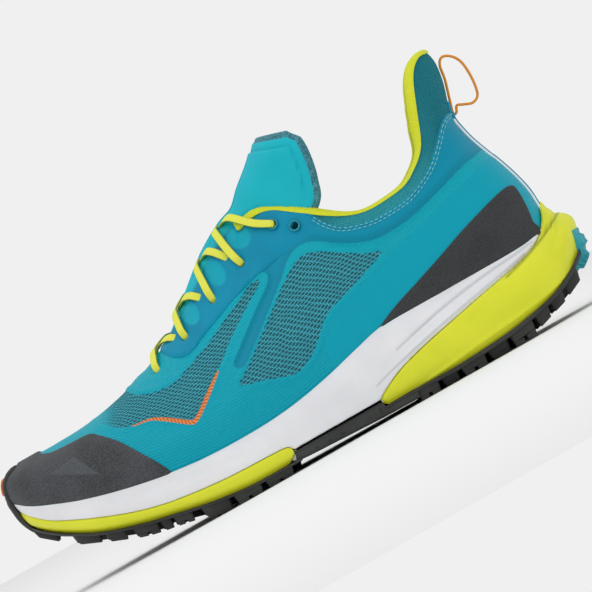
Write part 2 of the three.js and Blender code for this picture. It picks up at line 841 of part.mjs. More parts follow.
function surfaceAt(x, y) {
  const slopeX = (crownAt(x + 1, y) - crownAt(x - 1, y)) / 2;
  const slopeY = (crownAt(x, y + 1) - crownAt(x, y - 1)) / 2;
  const away = new THREE.Vector3(-slopeX, -slopeY, 1).normalize();
  return { point: new THREE.Vector3(x, y, crownAt(x, y)), away };
}

function laceStrip(from, to, bend, lift, grow = 0) {
  const over = (t) => {
    const x = from.x + (to.x - from.x) * t - bend * Math.sin(Math.PI * t);
    const { point, away } = surfaceAt(x, from.y + (to.y - from.y) * t);
    return { away, point: point.addScaledVector(away, lift(t)) };
  };
  const sections = [];
  for (let k = 0; k <= LACE_STEPS; k += 1) {
    const t = k / LACE_STEPS;
    const { point, away } = over(t);
    const ahead = over(Math.min(t + 0.05, 1)).point;
    const behind = over(Math.max(t - 0.05, 0)).point;
    const sideways = away.clone().cross(ahead.sub(behind)).normalize();
    sections.push(
      LACE_SECTION.map(({ across, up }) =>
        point
          .clone()
          .addScaledVector(sideways, across * (LACE_WIDE / 2 + grow))
          .addScaledVector(away, up * (LACE_THICK / 2 + grow)),
      ),
    );
  }
  return loftSolid(sections);
}

const EYESTAY_THICK = 0.8;
const LACE_LIFT = GAP + EYESTAY_THICK + 2 * GAP + LACE_THICK / 2;
const CROSSINGS = 4;
const CROSSING_BEND = [5, 5, 5, 11]; // how far each crossing bows towards the toe
const FAR_EDGE = 0.12; // share of the way back from the far eyelet to where a lace dives
// One crossing: from an eyelet on each side over the throat to the edge by the next eyelet
function laceCrossing(k, grow = 0) {
  const strips = [-1, 1].map((side) => {
    const low = EYELETS[k];
    const high = EYELETS[k + 1];
    const from = upperAt(low.along * LENGTH, low.up * HEIGHT, side).point;
    const top = upperAt(high.along * LENGTH, high.up * HEIGHT, -side).point;
    const to = top.clone().lerp(from, FAR_EDGE);
    const bump = side < 0 ? LACE_THICK : 0;
    const lift = (t) => LACE_LIFT + bump * Math.sin(Math.PI * t) ** 2;
    return laceStrip(from, to, CROSSING_BEND[k], lift, grow);
  });
  const eyestay = upperForm(EYESTAY_THICK + 2 * GAP - grow).subtract(throatBar(-grow));
  return strips[0].add(strips[1]).subtract(eyestay);
}

// Overlays: a skin over the upper cut out by an outline seen from the side
function overlay(thick, cutter, under = GAP) {
  return upperForm(under + thick).subtract(upperForm(under)).intersect(cutter);
}

const TOE_CAP_EDGE = sideTable([
  [0.08, 0.5],
  [0.083, 0.455],
  [0.103, 0.44],
  [0.14, 0.434],
  [0.172, 0.431],
  [0.187, 0.41],
  [0.21, 0.363],
  [0.23, 0.301],
  [0.247, 0.247],
  [0.258, 0.197],
  [0.262, 0.15],
]);

const COUNTER_EDGE = sideTable([
  [0.638, 0.262],
  [0.683, 0.304],
  [0.733, 0.338],
  [0.783, 0.373],
  [0.833, 0.41],
  [0.883, 0.442],
  [0.917, 0.459],
  [0.934, 0.46],
  [0.941, 0.445],
  [0.941, 0.385],
  [0.938, 0.33],
  [0.931, 0.262],
]);

const EYESTAY_EDGE = sideTable([
  [0.335, 0.56],
  [0.333, 0.515],
  [0.345, 0.497],
  [0.377, 0.5],
  [0.41, 0.53],
  [0.45, 0.562],
  [0.49, 0.59],
  [0.53, 0.612],
  [0.58, 0.63],
  [0.62, 0.64],
  [0.64, 0.66],
  [0.652, 0.7],
]);

const TOE_CAP_THICK = 1;
const toeCapBar = () => {
  const edge = sideLine(TOE_CAP_EDGE, 14);
  return sideBar([...edge, [-FAR, edge[14][1]], [-FAR, edge[0][1]]]);
};
const counterBar = () => sideBar(sideLine(COUNTER_EDGE, 18));
const eyestayBar = () => {
  const edge = sideLine(EYESTAY_EDGE, 15);
  return sideBar([...edge, [edge[15][0], FAR], [edge[0][0], FAR]]);
};

// Rubber bumper: a tongue of the outsole that climbs the toe
const BUMPER_HALF = 15;
const BUMPER_THICK = 1.5;
const BUMPER_TOP = 0.45 * HEIGHT;
const TOE_MIDDLE = 0.07 * BALL_WIDTH;
const TAB_HALF = 5;
const TAB_LOW = 0.388 * HEIGHT;
const TAB_HIGH = 0.43 * HEIGHT;
function bumperWindow(half, low, high, corner) {
  const shape = new THREE.Shape();
  shape.moveTo(-half, low);
  shape.lineTo(half, low);
  shape.lineTo(half, high - corner);
  shape.lineTo(half - corner * 0.3, high - corner * 0.3);
  shape.lineTo(half - corner, high);
  shape.lineTo(corner - half, high);
  shape.lineTo(corner * 0.3 - half, high - corner * 0.3);
  shape.lineTo(-half, high - corner);
  const bar = new THREE.ExtrudeGeometry(shape, { depth: 60, bevelEnabled: false, steps: 1 });
  bar.rotateX(Math.PI / 2);
  bar.rotateZ(Math.PI / 2);
  bar.translate(-30, TOE_MIDDLE, 0);
  return solidOf(bar);
}

// Tape over the back seam of the heel
const TAPE_HALF = 5;
const TAPE_LOW = 0.375 * HEIGHT;
const TAPE_HIGH = 0.742 * HEIGHT;
const heelTape = () =>
  overlay(0.8, box(0.85 * LENGTH, LENGTH, -TAPE_HALF, TAPE_HALF, TAPE_LOW, TAPE_HIGH));

// Rubber lugs at the back corner of the heel, seen from the side
const HEEL_INSERT = sideTable([
  [0.963, 0.094],
  [0.98, 0.104],
  [0.997, 0.15],
  [1, 0.205],
  [1, 0.238],
  [0.99, 0.24],
  [0.965, 0.16],
]);
const HEEL_INSERT_HALF = 17;
const HEEL_INSERT_THICK = 5;

// Pull loop: its cord's middle line from the side
const LOOP = sideTable([
  [0.9203, 0.757],
  [0.9248, 0.79],
  [0.9343, 0.86],
  [0.9388, 0.91],
  [0.947, 0.928],
  [0.959, 0.915],
  [0.967, 0.89],
  [0.969, 0.85],
  [0.968, 0.8],
  [0.963, 0.768],
  [0.953, 0.751],
  [0.938, 0.757],
  [0.9268, 0.747],
]);
const LOOP_RADIUS = 0.75;
const LOOP_SIDES = 6;
const LOOP_STEPS = 32;
function pullLoop() {
  const route = new THREE.CatmullRomCurve3(
    LOOP.map(({ along, up }) => new THREE.Vector3(along * LENGTH, 0, up * HEIGHT)),
    true,
  );
  const sections = [];
  for (let k = 0; k < LOOP_STEPS; k += 1) {
    const centre = route.getPointAt(k / LOOP_STEPS);
    const along = route.getTangentAt(k / LOOP_STEPS);
    const across = new THREE.Vector3(-along.z, 0, along.x);
    const section = [];
    for (let i = 0; i < LOOP_SIDES; i += 1) {
      const turn = (2 * Math.PI * i) / LOOP_SIDES;
      const point = centre.clone().addScaledVector(across, LOOP_RADIUS * Math.cos(turn));
      point.y += LOOP_RADIUS * Math.sin(turn);
      section.push(point);
    }
    sections.push(section);
  }
  return loftSolid(sections, true);
}

const materials = new Map();
function material(name, colour, roughness) {
  if (!materials.has(name)) {
    materials.set(name, new THREE.MeshStandardMaterial({ color: colour, roughness, metalness: 0 }));
  }
  return materials.get(name);
}

// The largest piece of a solid: slivers left at the edge of a cut are dropped
const whole = (solid) =>
  solid.decompose().reduce((best, piece) => (piece.volume() > best.volume() ? piece : best));

const pieces = [];
function add(name, body, look) {
  pieces.push({ name, look, solid: whole(body).simplify(FINENESS) });
}

const rubber = material('rubber', 0x3f413f, 0.8);
const white = material('white', 0xf2f2f4, 0.6);
const lime = material('lime', 0xd9e030, 0.55);
const cyan = material('cyan', 0x16b2c4, 0.6);
const teal = material('teal', 0x008fae, 0.55);
const dark = material('dark', 0x3c3e40, 0.7);
const lace = material('lace', 0xe2e64a, 0.8);
const orange = material('orange', 0xe8742a, 0.6);

// Sole foam
const upperSpace = upperForm(GAP);
const foam = foamForm(0).subtract(upperSpace);
const foamGrown = foamForm(GAP);
const halfGap = GAP / 2;
const bridgeSpace = bridgeBox(GAP, -FAR);
const forefoot = foam.intersect(forefootBar(-halfGap));
const wedge = foam.intersect(wedgeBar(-halfGap)).subtract(bridgeSpace);
const midsole = foam
  .subtract(forefootBar(halfGap))
  .subtract(wedgeBar(halfGap))
  .subtract(bridgeSpace);

// Outsole: sheet, lugs, midfoot bridge and toe bumper in one rubber piece
const INSERT_FROM = 0.962 * LENGTH;
const sheetRings = [SHEET_INSET, SHEET_INSET + 0.8].map((inset, low) =>
  widened(soleRing(), -inset).map(
    (point) => new THREE.Vector3(point.x, point.y, baseAt(point.x) - (low ? SHEET : -1.5)),
  ),
);
const sheet = stackSolid([sheetRings[1], sheetRings[0]]);
const tie = box(BRIDGE_FROM - TIE, BRIDGE_TO + TIE, -FAR, FAR, BRIDGE_LOW, 0.033 * HEIGHT);
const bridge = bridgeBox(0, BRIDGE_LOW).add(tie).intersect(soleColumn(SHEET_INSET, -FAR, FAR));
const channel = box(BRIDGE_FROM + TIE, BRIDGE_TO - TIE, -24, 18, -FAR, BRIDGE_LOW + 3.6);
const toeSkin = (offset) => upperForm(offset).add(foamForm(offset));
const bumperUnder = 2 * GAP + TOE_CAP_THICK;
const bumperBand = toeSkin(bumperUnder + BUMPER_THICK).subtract(toeSkin(bumperUnder));
const bumper = bumperBand.intersect(bumperWindow(BUMPER_HALF, 0.15 * HEIGHT, BUMPER_TOP, 5));
const tabWindow = (grow) => bumperWindow(TAB_HALF + grow, TAB_LOW - grow, TAB_HIGH + grow, 1);
const rubberBody = sheet
  .add(lugs())
  .add(bridge)
  .add(bumper)
  .subtract(foamGrown.subtract(bridgeBox(0, -FAR)))
  .subtract(channel)
  .subtract(tabWindow(GAP))
  .subtract(box(INSERT_FROM, FAR, -FAR, FAR, -FAR, FAR));
add('outsole', rubberBody, rubber);
add('toe_tab', toeSkin(bumperUnder + BUMPER_THICK + 0.5).subtract(toeSkin(bumperUnder)).intersect(tabWindow(0)), orange);
add('midsole', midsole, white);
add('midsole_forefoot', forefoot, lime);
add('midsole_heel', wedge, lime);
add('insole', insoleSolid(), dark);
const cuff = upperForm(1)
  .subtract(upperForm(-CUFF_STEP))
  .intersect(aboveLine(CUFF_LINE, 12));
add('upper', upperShell().subtract(eyeletBars()).subtract(cuff), cyan);
add('collar_lining', collarLining(), lime);
const aroundTongue = upperForm(12)
  .subtract(upperForm(-WALL - GAP, 12))
  .subtract(aboveCollar(GAP))
  .subtract(throatBar(-GAP));
const laces = Array.from({ length: CROSSINGS }, (_, k) => laceCrossing(k, GAP));
const tongue = tongueSolid()
  .subtract(aroundTongue)
  .subtract(collarLining(GAP))
  .subtract(wasm.Manifold.union(laces));
add('tongue', tongue, cyan);
for (let k = 0; k < CROSSINGS; k += 1) {
  const crossing = laceCrossing(k);
  const clear = k + 1 < CROSSINGS ? crossing.subtract(laces[k + 1]) : crossing;
  add(`lace_crossing_${k + 1}`, clear, lace);
}
const toeCap = overlay(TOE_CAP_THICK, toeCapBar()).subtract(foamGrown);
add('toe_cap', toeCap, dark);
const counter = overlay(TOE_CAP_THICK, counterBar()).subtract(foamGrown);
const OUTER_SIDE = box(-FAR, FAR, -FAR, 0, -FAR, FAR);
const INNER_SIDE = box(-FAR, FAR, 0, FAR, -FAR, FAR);
add('counter_outer', counter.intersect(OUTER_SIDE), dark);
add('counter_inner', counter.intersect(INNER_SIDE), dark);
const eyestay = overlay(EYESTAY_THICK, eyestayBar())
  .subtract(aboveCollar(-GAP))
  .subtract(throatBar(GAP))
  .subtract(eyeletBars());
add('eyestay_outer', eyestay.intersect(OUTER_SIDE), teal);
add('eyestay_inner', eyestay.intersect(INNER_SIDE), teal);
add('heel_tape', heelTape().subtract(foamGrown), teal);
const insertBar = sideBar(HEEL_INSERT.map(({ along, up }) => [along * LENGTH, up * HEIGHT]));
const insert = insertBar
  .intersect(soleColumn(SOLE_BACK - LENGTH, -FAR, FAR))
  .intersect(foamForm(HEEL_INSERT_THICK))
  .intersect(box(0.9 * LENGTH, FAR, -HEEL_INSERT_HALF, HEEL_INSERT_HALF, -FAR, FAR))
  .subtract(foamGrown);
add('heel_lug_insert', insert, cyan);
add('pull_loop', pullLoop(), orange);

// The origin is on the floor, under the middle of the shoe's box
const bounds = new THREE.Box3();
for (const { solid } of pieces) {
  const { min, max } = solid.boundingBox();
  bounds.expandByPoint(new THREE.Vector3(...min));
  bounds.expandByPoint(new THREE.Vector3(...max));
}
const centre = bounds.getCenter(new THREE.Vector3());

const group = new THREE.Group();
for (const { name, look, solid } of pieces) {
  const { vertProperties, triVerts } = solid.getMesh();
  const geometry = new THREE.BufferGeometry();
  geometry.setAttribute('position', new THREE.BufferAttribute(vertProperties, 3));
  geometry.setIndex(new THREE.BufferAttribute(triVerts, 1));
  geometry.translate(-centre.x, -centre.y, -bounds.min.z);
  geometry.computeVertexNormals();
  const mesh = new THREE.Mesh(geometry, look);
  mesh.name = name;
  group.add(mesh);
}
export default group;
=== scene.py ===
# %% [markdown]
# # A trail running shoe, dressed piece by piece
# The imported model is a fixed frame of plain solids. Each solid is replaced here by a finer piece
# that is made from the same sizes, so it sits in the same place and fits its neighbours.

# %% Load the frame
import json
import math
from functools import partial

import bpy
import numpy as np
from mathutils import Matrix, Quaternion, Vector

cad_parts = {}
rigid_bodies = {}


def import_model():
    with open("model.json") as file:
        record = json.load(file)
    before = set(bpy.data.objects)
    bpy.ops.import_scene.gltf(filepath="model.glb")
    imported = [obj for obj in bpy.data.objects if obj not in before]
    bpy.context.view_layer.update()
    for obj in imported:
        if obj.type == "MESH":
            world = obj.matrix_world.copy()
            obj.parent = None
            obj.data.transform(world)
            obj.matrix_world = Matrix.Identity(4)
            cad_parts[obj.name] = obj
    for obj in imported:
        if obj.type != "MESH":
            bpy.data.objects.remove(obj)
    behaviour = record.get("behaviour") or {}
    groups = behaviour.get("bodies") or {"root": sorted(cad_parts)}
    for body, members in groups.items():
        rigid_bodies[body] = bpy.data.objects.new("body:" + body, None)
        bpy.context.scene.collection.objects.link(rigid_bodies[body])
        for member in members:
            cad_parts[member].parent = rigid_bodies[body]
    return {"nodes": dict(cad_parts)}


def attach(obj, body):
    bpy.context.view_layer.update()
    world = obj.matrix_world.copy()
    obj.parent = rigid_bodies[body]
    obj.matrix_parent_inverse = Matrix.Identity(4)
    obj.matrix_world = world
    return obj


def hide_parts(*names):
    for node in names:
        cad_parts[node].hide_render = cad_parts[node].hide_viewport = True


for thing in list(bpy.data.objects):
    bpy.data.objects.remove(thing)  # an empty stage to start on
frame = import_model()
bpy.context.view_layer.update()
print("solids in the frame:", len(frame["nodes"]))

# %% [markdown]
# ## Sizes
# Everything is worked out in millimetres from the tip of the toe, as a pattern cutter would, and
# moved to the frame's own origin, under the middle of the shoe, only when a mesh is made.

# %% Sizes of the shoe
LENGTH, BALL_WIDTH, HEIGHT = 300.0, 112.0, 146.0
WALL = 2.2
ORIGIN = np.array((149.576, 0.13, 0.0))
OUTER, INNER = -1, 1


def place(points):
    """Millimetres from the toe to metres in the frame."""
    return (np.asarray(points, float) - ORIGIN) / 1000

# %% [markdown]
# ## Smooth curves
# A last maker draws a shoe from a few heights and widths and fairs a curve through them. One cubic
# through a short table does the same. Its values may be arrays, so that whole rings bend at once.

# %% A curve through a table
def through(xs, ys, at):
    """Cubic through the points xs, ys, read at every value of at; ys may hold a row per point."""
    xs = np.asarray(xs, float)
    at = np.clip(np.asarray(at, float), xs[0], xs[-1])
    ys = np.asarray(ys, float)
    if ys.ndim == 1:
        ys = np.repeat(ys[:, None], at.size, axis=1).reshape((len(xs),) + at.shape)
    after = np.minimum(np.arange(len(xs)) + 1, len(xs) - 1)
    before = np.maximum(np.arange(len(xs)) - 1, 0)
    run = (xs[after] - xs[before]).reshape((-1,) + (1,) * at.ndim)
    slope = (ys[after] - ys[before]) / run
    i = np.clip(np.searchsorted(xs, at, side="right") - 1, 0, len(xs) - 2)
    span = xs[i + 1] - xs[i]
    t = (at - xs[i]) / span
    low, high, leaves, meets = (np.take_along_axis(table, k[None], axis=0)[0]
                                for table in (ys, slope) for k in (i, i + 1))
    ease, bend = t * t * (3 - 2 * t), t * (1 - t)
    return low + (high - low) * ease + span * bend * (leaves * (1 - t) - meets * t)


def drawn(rows, count=60, closed=False):
    """Points along a smooth line through the rows of a table of two columns."""
    rows = np.asarray(rows, float)
    steps = np.arange(len(rows), dtype=float)
    if closed:
        rows = np.vstack((rows[-2:], rows, rows[:3]))
        steps = np.arange(-2.0, len(rows) - 2.0)
        at = np.linspace(0, len(rows) - 5, count, endpoint=False)
    else:
        at = np.linspace(0, len(rows) - 1, count)
    return np.stack([through(steps, rows[:, k], at) for k in range(rows.shape[1])], axis=1)


def unit(arrows):
    """Arrows in rows brought to length 1."""
    return arrows / np.linalg.norm(arrows, axis=-1, keepdims=True)


def way_along(points):
    """How far along a line each of its points is, in mm."""
    return np.concatenate(([0], np.cumsum(np.linalg.norm(np.diff(points, axis=0), axis=1))))


print("a quarter of the way up a rise:", round(float(through((0, 1), (0, 1), 0.25)), 3))

# %% [markdown]
# ## The last
# The last is the foot-shaped form that a shoe is pulled over. Its plan gives widths along the foot
# and its profile gives heights. The upper is a sheet over it, so one function returns any place
# on the upper from how far along (share), how far up (level) and which side.

# %% Tables of the last and the sole
# along, middle, foot, widest, shoulder, crown: along in shares of the length, middle and foot in
# shares of the ball width, the rest in shares of the foot line's half width
UPPER_PLAN = np.array((
    (0, 0.07, 0, 1.02, 0.86, 0.4),
    (0.03, 0.068, 0.215, 1.02, 0.86, 0.4),
    (0.07, 0.062, 0.304, 1.02, 0.85, 0.36),
    (0.13, 0.05, 0.38, 1.02, 0.8, 0.3),
    (0.2, 0.034, 0.424, 1.02, 0.73, 0.25),
    (0.28, 0.014, 0.45, 1.01, 0.66, 0.21),
    (0.35, 0.002, 0.46, 1, 0.6, 0.19),
    (0.43, -0.01, 0.433, 0.98, 0.54, 0.19),
    (0.52, -0.018, 0.384, 0.97, 0.52, 0.22),
    (0.62, -0.018, 0.34, 0.97, 0.56, 0.27),
    (0.72, -0.009, 0.322, 0.97, 0.7, 0.42),
    (0.82, 0, 0.326, 0.98, 0.82, 0.58),
    (0.9, 0, 0.304, 0.99, 0.82, 0.6),
    (0.96, 0, 0.224, 0.99, 0.82, 0.62),
    (1, 0, 0, 0.99, 0.82, 0.62),
))
# along, middle, half
SOLE_PLAN = np.array((
    (0, 0.07, 0),
    (0.03, 0.068, 0.232),
    (0.07, 0.062, 0.334),
    (0.13, 0.05, 0.415),
    (0.2, 0.033, 0.462),
    (0.28, 0.012, 0.49),
    (0.35, 0, 0.5),
    (0.42, -0.012, 0.48),
    (0.5, -0.022, 0.43),
    (0.6, -0.022, 0.39),
    (0.7, -0.01, 0.389),
    (0.79, 0, 0.405),
    (0.87, 0, 0.388),
    (0.93, 0, 0.32),
    (0.97, 0, 0.222),
    (1, 0, 0),
))
# along in shares of the length, then tread, base, rim, foot and ridge in shares of the height
HEIGHTS = np.array((
    (0.005, 0.27, 0.32, 0.372, 0.36, 0.452),
    (0.015, 0.235, 0.272, 0.358, 0.348, 0.453),
    (0.035, 0.195, 0.232, 0.329, 0.319, 0.456),
    (0.07, 0.145, 0.186, 0.298, 0.288, 0.457),
    (0.115, 0.104, 0.141, 0.264, 0.254, 0.457),
    (0.18, 0.055, 0.1, 0.228, 0.218, 0.464),
    (0.25, 0.028, 0.069, 0.2, 0.19, 0.494),
    (0.29, 0.006, 0.053, 0.19, 0.18, 0.522),
    (0.31, 0, 0.047, 0.186, 0.176, 0.533),
    (0.36, 0, 0.037, 0.182, 0.172, 0.582),
    (0.425, 0, 0.036, 0.184, 0.174, 0.672),
    (0.48, 0.014, 0.039, 0.195, 0.185, 0.752),
    (0.54, 0.02, 0.042, 0.218, 0.208, 0.82),
    (0.6, 0.02, 0.045, 0.249, 0.239, 0.876),
    (0.65, 0, 0.047, 0.272, 0.262, 0.914),
    (0.72, 0, 0.045, 0.275, 0.265, 0.955),
    (0.8, 0, 0.054, 0.273, 0.263, 0.985),
    (0.835, 0, 0.062, 0.273, 0.263, 1),
    (0.885, 0.03, 0.08, 0.274, 0.264, 1.003),
    (0.92, 0.052, 0.1, 0.28, 0.268, 1.003),
    (0.95, 0.078, 0.13, 0.3, 0.27, 1.003),
    (0.97, 0.105, 0.158, 0.375, 0.272, 1.003),
    (0.985, 0.14, 0.183, 0.39, 0.272, 1.003),
    (1, 0.17, 0.212, 0.39, 0.272, 1.003),
))
# up in shares of the height, along in shares of the length
HEEL_BACK = np.array((
    (0.27, 0.962), (0.4, 0.961), (0.45, 0.957), (0.52, 0.947), (0.59, 0.934), (0.65, 0.923),
    (0.7, 0.9165), (0.745, 0.913), (0.79, 0.919), (0.86, 0.929), (0.93, 0.933), (0.98, 0.927),
    (1.01, 0.92),
))
# share of the rise from foot line to ridge, along in shares of the length
TOE_FRONT = np.array(((0, 0.0125), (0.32, 0.011), (0.8, 0.021), (1, 0.05)))
print("rows: plan", len(UPPER_PLAN), "sole", len(SOLE_PLAN), "heights", len(HEIGHTS))

# %% Places on the last
WIDEST_UP, SHOULDER_UP, WIDEST_STEP, SHOULDER_STEP = 0.32, 0.8, 0.3, 0.74
RISE_STEPS = (0, WIDEST_STEP, SHOULDER_STEP, 1, 2 - SHOULDER_STEP)
RISES = (0, WIDEST_UP, SHOULDER_UP, 1, SHOULDER_UP)


def height_at(x, column):
    """Height in mm of one of the columns of HEIGHTS."""
    names = ("along", "tread", "base", "rim", "foot", "ridge")
    return through(HEIGHTS[:, 0] * LENGTH, HEIGHTS[:, names.index(column)] * HEIGHT, x)


def angle_of(share):
    """A share of the length as an angle, so that steps shorten towards toe and heel."""
    return np.arccos(1 - 2 * np.clip(share, 0, 1))


def end_to_end(plan, column, size, sign):
    """A curve of a plan's column that stays round past toe and heel."""
    xs = angle_of(plan[:, 0])
    ys = plan[:, column] * size
    xs = np.concatenate(([-xs[1]], xs, [2 * math.pi - xs[-2]]))
    ys = np.concatenate(([sign * ys[1]], ys, [sign * ys[-2]]))
    return lambda share: through(xs, ys, angle_of(share))


upper_middle = end_to_end(UPPER_PLAN, 1, BALL_WIDTH, 1)
foot_half = end_to_end(UPPER_PLAN, 2, BALL_WIDTH, -1)
widest_share = end_to_end(UPPER_PLAN, 3, 1, 1)
shoulder_share = end_to_end(UPPER_PLAN, 4, 1, 1)
crown_share = end_to_end(UPPER_PLAN, 5, 1, 1)
sole_middle = end_to_end(SOLE_PLAN, 1, BALL_WIDTH, 1)
sole_half = end_to_end(SOLE_PLAN, 2, BALL_WIDTH, -1)


def ends_at(level):
    """Along of the upper's front and back at each level."""
    rise = through(RISE_STEPS, RISES, level)
    low = height_at(np.full_like(rise, LENGTH), "foot")
    high = height_at(np.full_like(rise, LENGTH), "ridge")
    front = through(TOE_FRONT[:, 0], TOE_FRONT[:, 1] * LENGTH, rise)
    up = low + rise * (high - low)
    back = through(HEEL_BACK[:, 0] * HEIGHT, HEEL_BACK[:, 1] * LENGTH, up)
    return front, back


def on_last(share, level, side):
    """Points on the upper's outer surface. share, level and side are arrays of one shape."""
    share, level, side = np.broadcast_arrays(share, level, side)
    shape = share.shape
    share, level, side = (np.asarray(a, float).ravel() for a in (share, level, side))
    front, back = ends_at(level)
    x = front + share * (back - front)
    crown, shoulder = crown_share(share), shoulder_share(share)
    spreads = np.stack((np.ones_like(share), widest_share(share), shoulder, crown,
                        2 * crown - shoulder))
    half = foot_half(share) * through(RISE_STEPS, spreads, level)
    y = upper_middle(share) + side * half
    low = height_at(x, "foot")
    z = low + through(RISE_STEPS, RISES, level) * (height_at(x, "ridge") - low)
    return np.stack((x, y, z), axis=-1).reshape(shape + (3,))


print("instep ridge at 150 mm:", np.round(on_last(0.5, 1.0, OUTER), 1))

# %% [markdown]
# ## Sheets
# A shoe's pieces are sheets cut by knives of the pattern's shape. So a sheet here is a set of
# points and triangles, and each point also carries a few numbers, such as how far it is from a
# seam. A sheet can be cut along the zero line of such a number and then thickened to a solid.

# %% Points, triangles and normals of a sheet
def joined(points, faces, **extra):
    """Merges points that lie on each other and drops faces that collapse."""
    key = np.round(points, 3)
    _, first, index = np.unique(key, axis=0, return_index=True, return_inverse=True)
    faces = index.reshape(-1)[faces]
    a, b, c = faces.T
    faces = faces[(a != b) & (b != c) & (c != a)]
    sheet = {"co": points[first], "faces": faces}
    sheet.update({name: values[first] for name, values in extra.items()})
    return sheet


def grid_faces(rows, columns, closed=False):
    """Triangles of a grid of points, row by row; closed joins the last column to the first."""
    spans = columns if closed else columns - 1
    r, c = np.meshgrid(np.arange(rows - 1), np.arange(spans), indexing="ij")
    right = (c + 1) % columns
    a, b = r * columns + c, r * columns + right
    d, e = (r + 1) * columns + c, (r + 1) * columns + right
    return np.concatenate([np.stack(corners, -1).reshape(-1, 3)
                           for corners in ((a, b, e), (a, e, d))])


def ring_sheet(rings, **extra):
    """A sheet from closed rings that lie inside one another."""
    points = np.stack(rings, axis=1)
    count, columns = points.shape[:2]
    faces = grid_faces(count + 1, columns) % (count * columns)
    return joined(points.reshape(-1, 3), faces, **extra)


def capped(faces, rows, around):
    """Closes a grid of rings with a fan over the first ring and one over the last."""
    last = (rows - 1) * around
    fans = [(0, k + 1, k) for k in range(1, around - 1)]
    fans += [(last, last + k, last + k + 1) for k in range(1, around - 1)]
    return np.concatenate((faces, np.array(fans)))


def normals_of(sheet):
    """The direction away from the surface at each point."""
    co, faces = sheet["co"], sheet["faces"]
    across = np.cross(co[faces[:, 1]] - co[faces[:, 0]], co[faces[:, 2]] - co[faces[:, 0]])
    total = np.zeros_like(co)
    for k in range(3):
        np.add.at(total, faces[:, k], across)
    return total / np.maximum(np.linalg.norm(total, axis=1, keepdims=True), 1e-9)


def facing(sheet, way):
    """Turns the faces so that the normals lean along way, and keeps the normals on the points."""
    sheet["normal"] = normals_of(sheet)
    if (sheet["normal"] * way).sum() < 0:
        sheet["faces"], sheet["normal"] = sheet["faces"][:, ::-1], -sheet["normal"]
    return sheet


def turned_out(sheet):
    """A closed sheet with its faces looking outward: its volume then counts as positive."""
    a, b, c = (sheet["co"][sheet["faces"][:, k]] for k in range(3))
    if np.einsum("ij,ij->i", a, np.cross(b, c)).sum() < 0:
        sheet["faces"] = sheet["faces"][:, ::-1]
    return sheet

# %% Cut a sheet
def clip(sheet, field):
    """The part of a sheet where field is above zero, cut along its zero line."""
    faces = sheet["faces"]
    inside = field > 0
    count = inside[faces].sum(axis=1)
    new_faces = [faces[count == 3]]
    pairs = []
    for lone, number in ((True, 1), (False, 2)):
        mixed = faces[count == number]
        odd = np.argmax(inside[mixed] == lone, axis=1)
        corners = (odd[:, None] + np.arange(3)) % 3
        pairs.append(np.take_along_axis(mixed, corners, 1))  # the odd corner comes first
    start = len(sheet["co"])
    edges = np.concatenate([np.sort(t[:, [0, k]], axis=1) for t in pairs for k in (1, 2)])
    if len(edges):
        edges, which = np.unique(edges, axis=0, return_inverse=True)
        which = which.reshape(-1) + start
        n1, n2 = len(pairs[0]), len(pairs[1])
        near, far = which[:n1], which[n1:2 * n1]
        new_faces.append(np.stack((pairs[0][:, 0], near, far), 1))
        near, far = which[2 * n1:2 * n1 + n2], which[2 * n1 + n2:]
        b, c = pairs[1][:, 1], pairs[1][:, 2]
        new_faces += [np.stack((near, b, c), 1), np.stack((near, c, far), 1)]
        low, high = field[edges[:, 0]], field[edges[:, 1]]
        t = low / (low - high)
    out = {}
    for name, values in sheet.items():
        if name == "faces":
            continue
        if len(edges):
            mix = t.reshape((-1,) + (1,) * (values.ndim - 1))
            made = values[edges[:, 0]] * (1 - mix) + values[edges[:, 1]] * mix
            values = np.concatenate((values, made))
        out[name] = values
    faces = np.concatenate(new_faces)
    used = np.unique(faces)
    index = np.full(len(out["co"]), -1)
    index[used] = np.arange(len(used))
    out = {name: values[used] for name, values in out.items()}
    out["faces"] = index[faces]
    return out

# %% Thicken sheets and stack them
def rim_edges(faces):
    """Edges that only one triangle uses, in that triangle's direction."""
    edges = np.concatenate((faces[:, [0, 1]], faces[:, [1, 2]], faces[:, [2, 0]]))
    _, index, count = np.unique(np.sort(edges, axis=1), axis=0, return_index=True,
                                return_counts=True)
    return edges[index[count == 1]]


def thickened(sheet, under):
    """A closed solid from a sheet and the points under it."""
    n = len(sheet["co"])
    rim = rim_edges(sheet["faces"])
    walls = np.concatenate((
        np.stack((rim[:, 1], rim[:, 0], rim[:, 0] + n), 1),
        np.stack((rim[:, 1], rim[:, 0] + n, rim[:, 1] + n), 1),
    ))
    solid = {name: np.concatenate((v, v)) for name, v in sheet.items() if name != "faces"}
    solid["co"] = np.concatenate((sheet["co"], under))
    solid["faces"] = np.concatenate((sheet["faces"], sheet["faces"][:, ::-1] + n, walls))
    return solid


def slab(sheet, low, high):
    """A closed solid between low and high mm off a sheet; each is a number or one per point."""
    under, top = (sheet["co"] + np.reshape(off, (-1, 1)) * sheet["normal"] for off in (low, high))
    return thickened({**sheet, "co": top}, under)


def stacked(*sheets):
    """Several sheets as one, with the numbers that all of them carry."""
    names = set.intersection(*(set(s) for s in sheets))
    out = {name: np.concatenate([s[name] for s in sheets]) for name in names if name != "faces"}
    starts = np.cumsum([0] + [len(s["co"]) for s in sheets[:-1]])
    out["faces"] = np.concatenate([s["faces"] + k for s, k in zip(sheets, starts)])
    return out

# %% Put a piece in the scene
TOTAL = {}


def put(name, data):
    """An object for some data, in the scene."""
    made = bpy.data.objects.new(name, data)
    bpy.context.collection.objects.link(made)
    return made


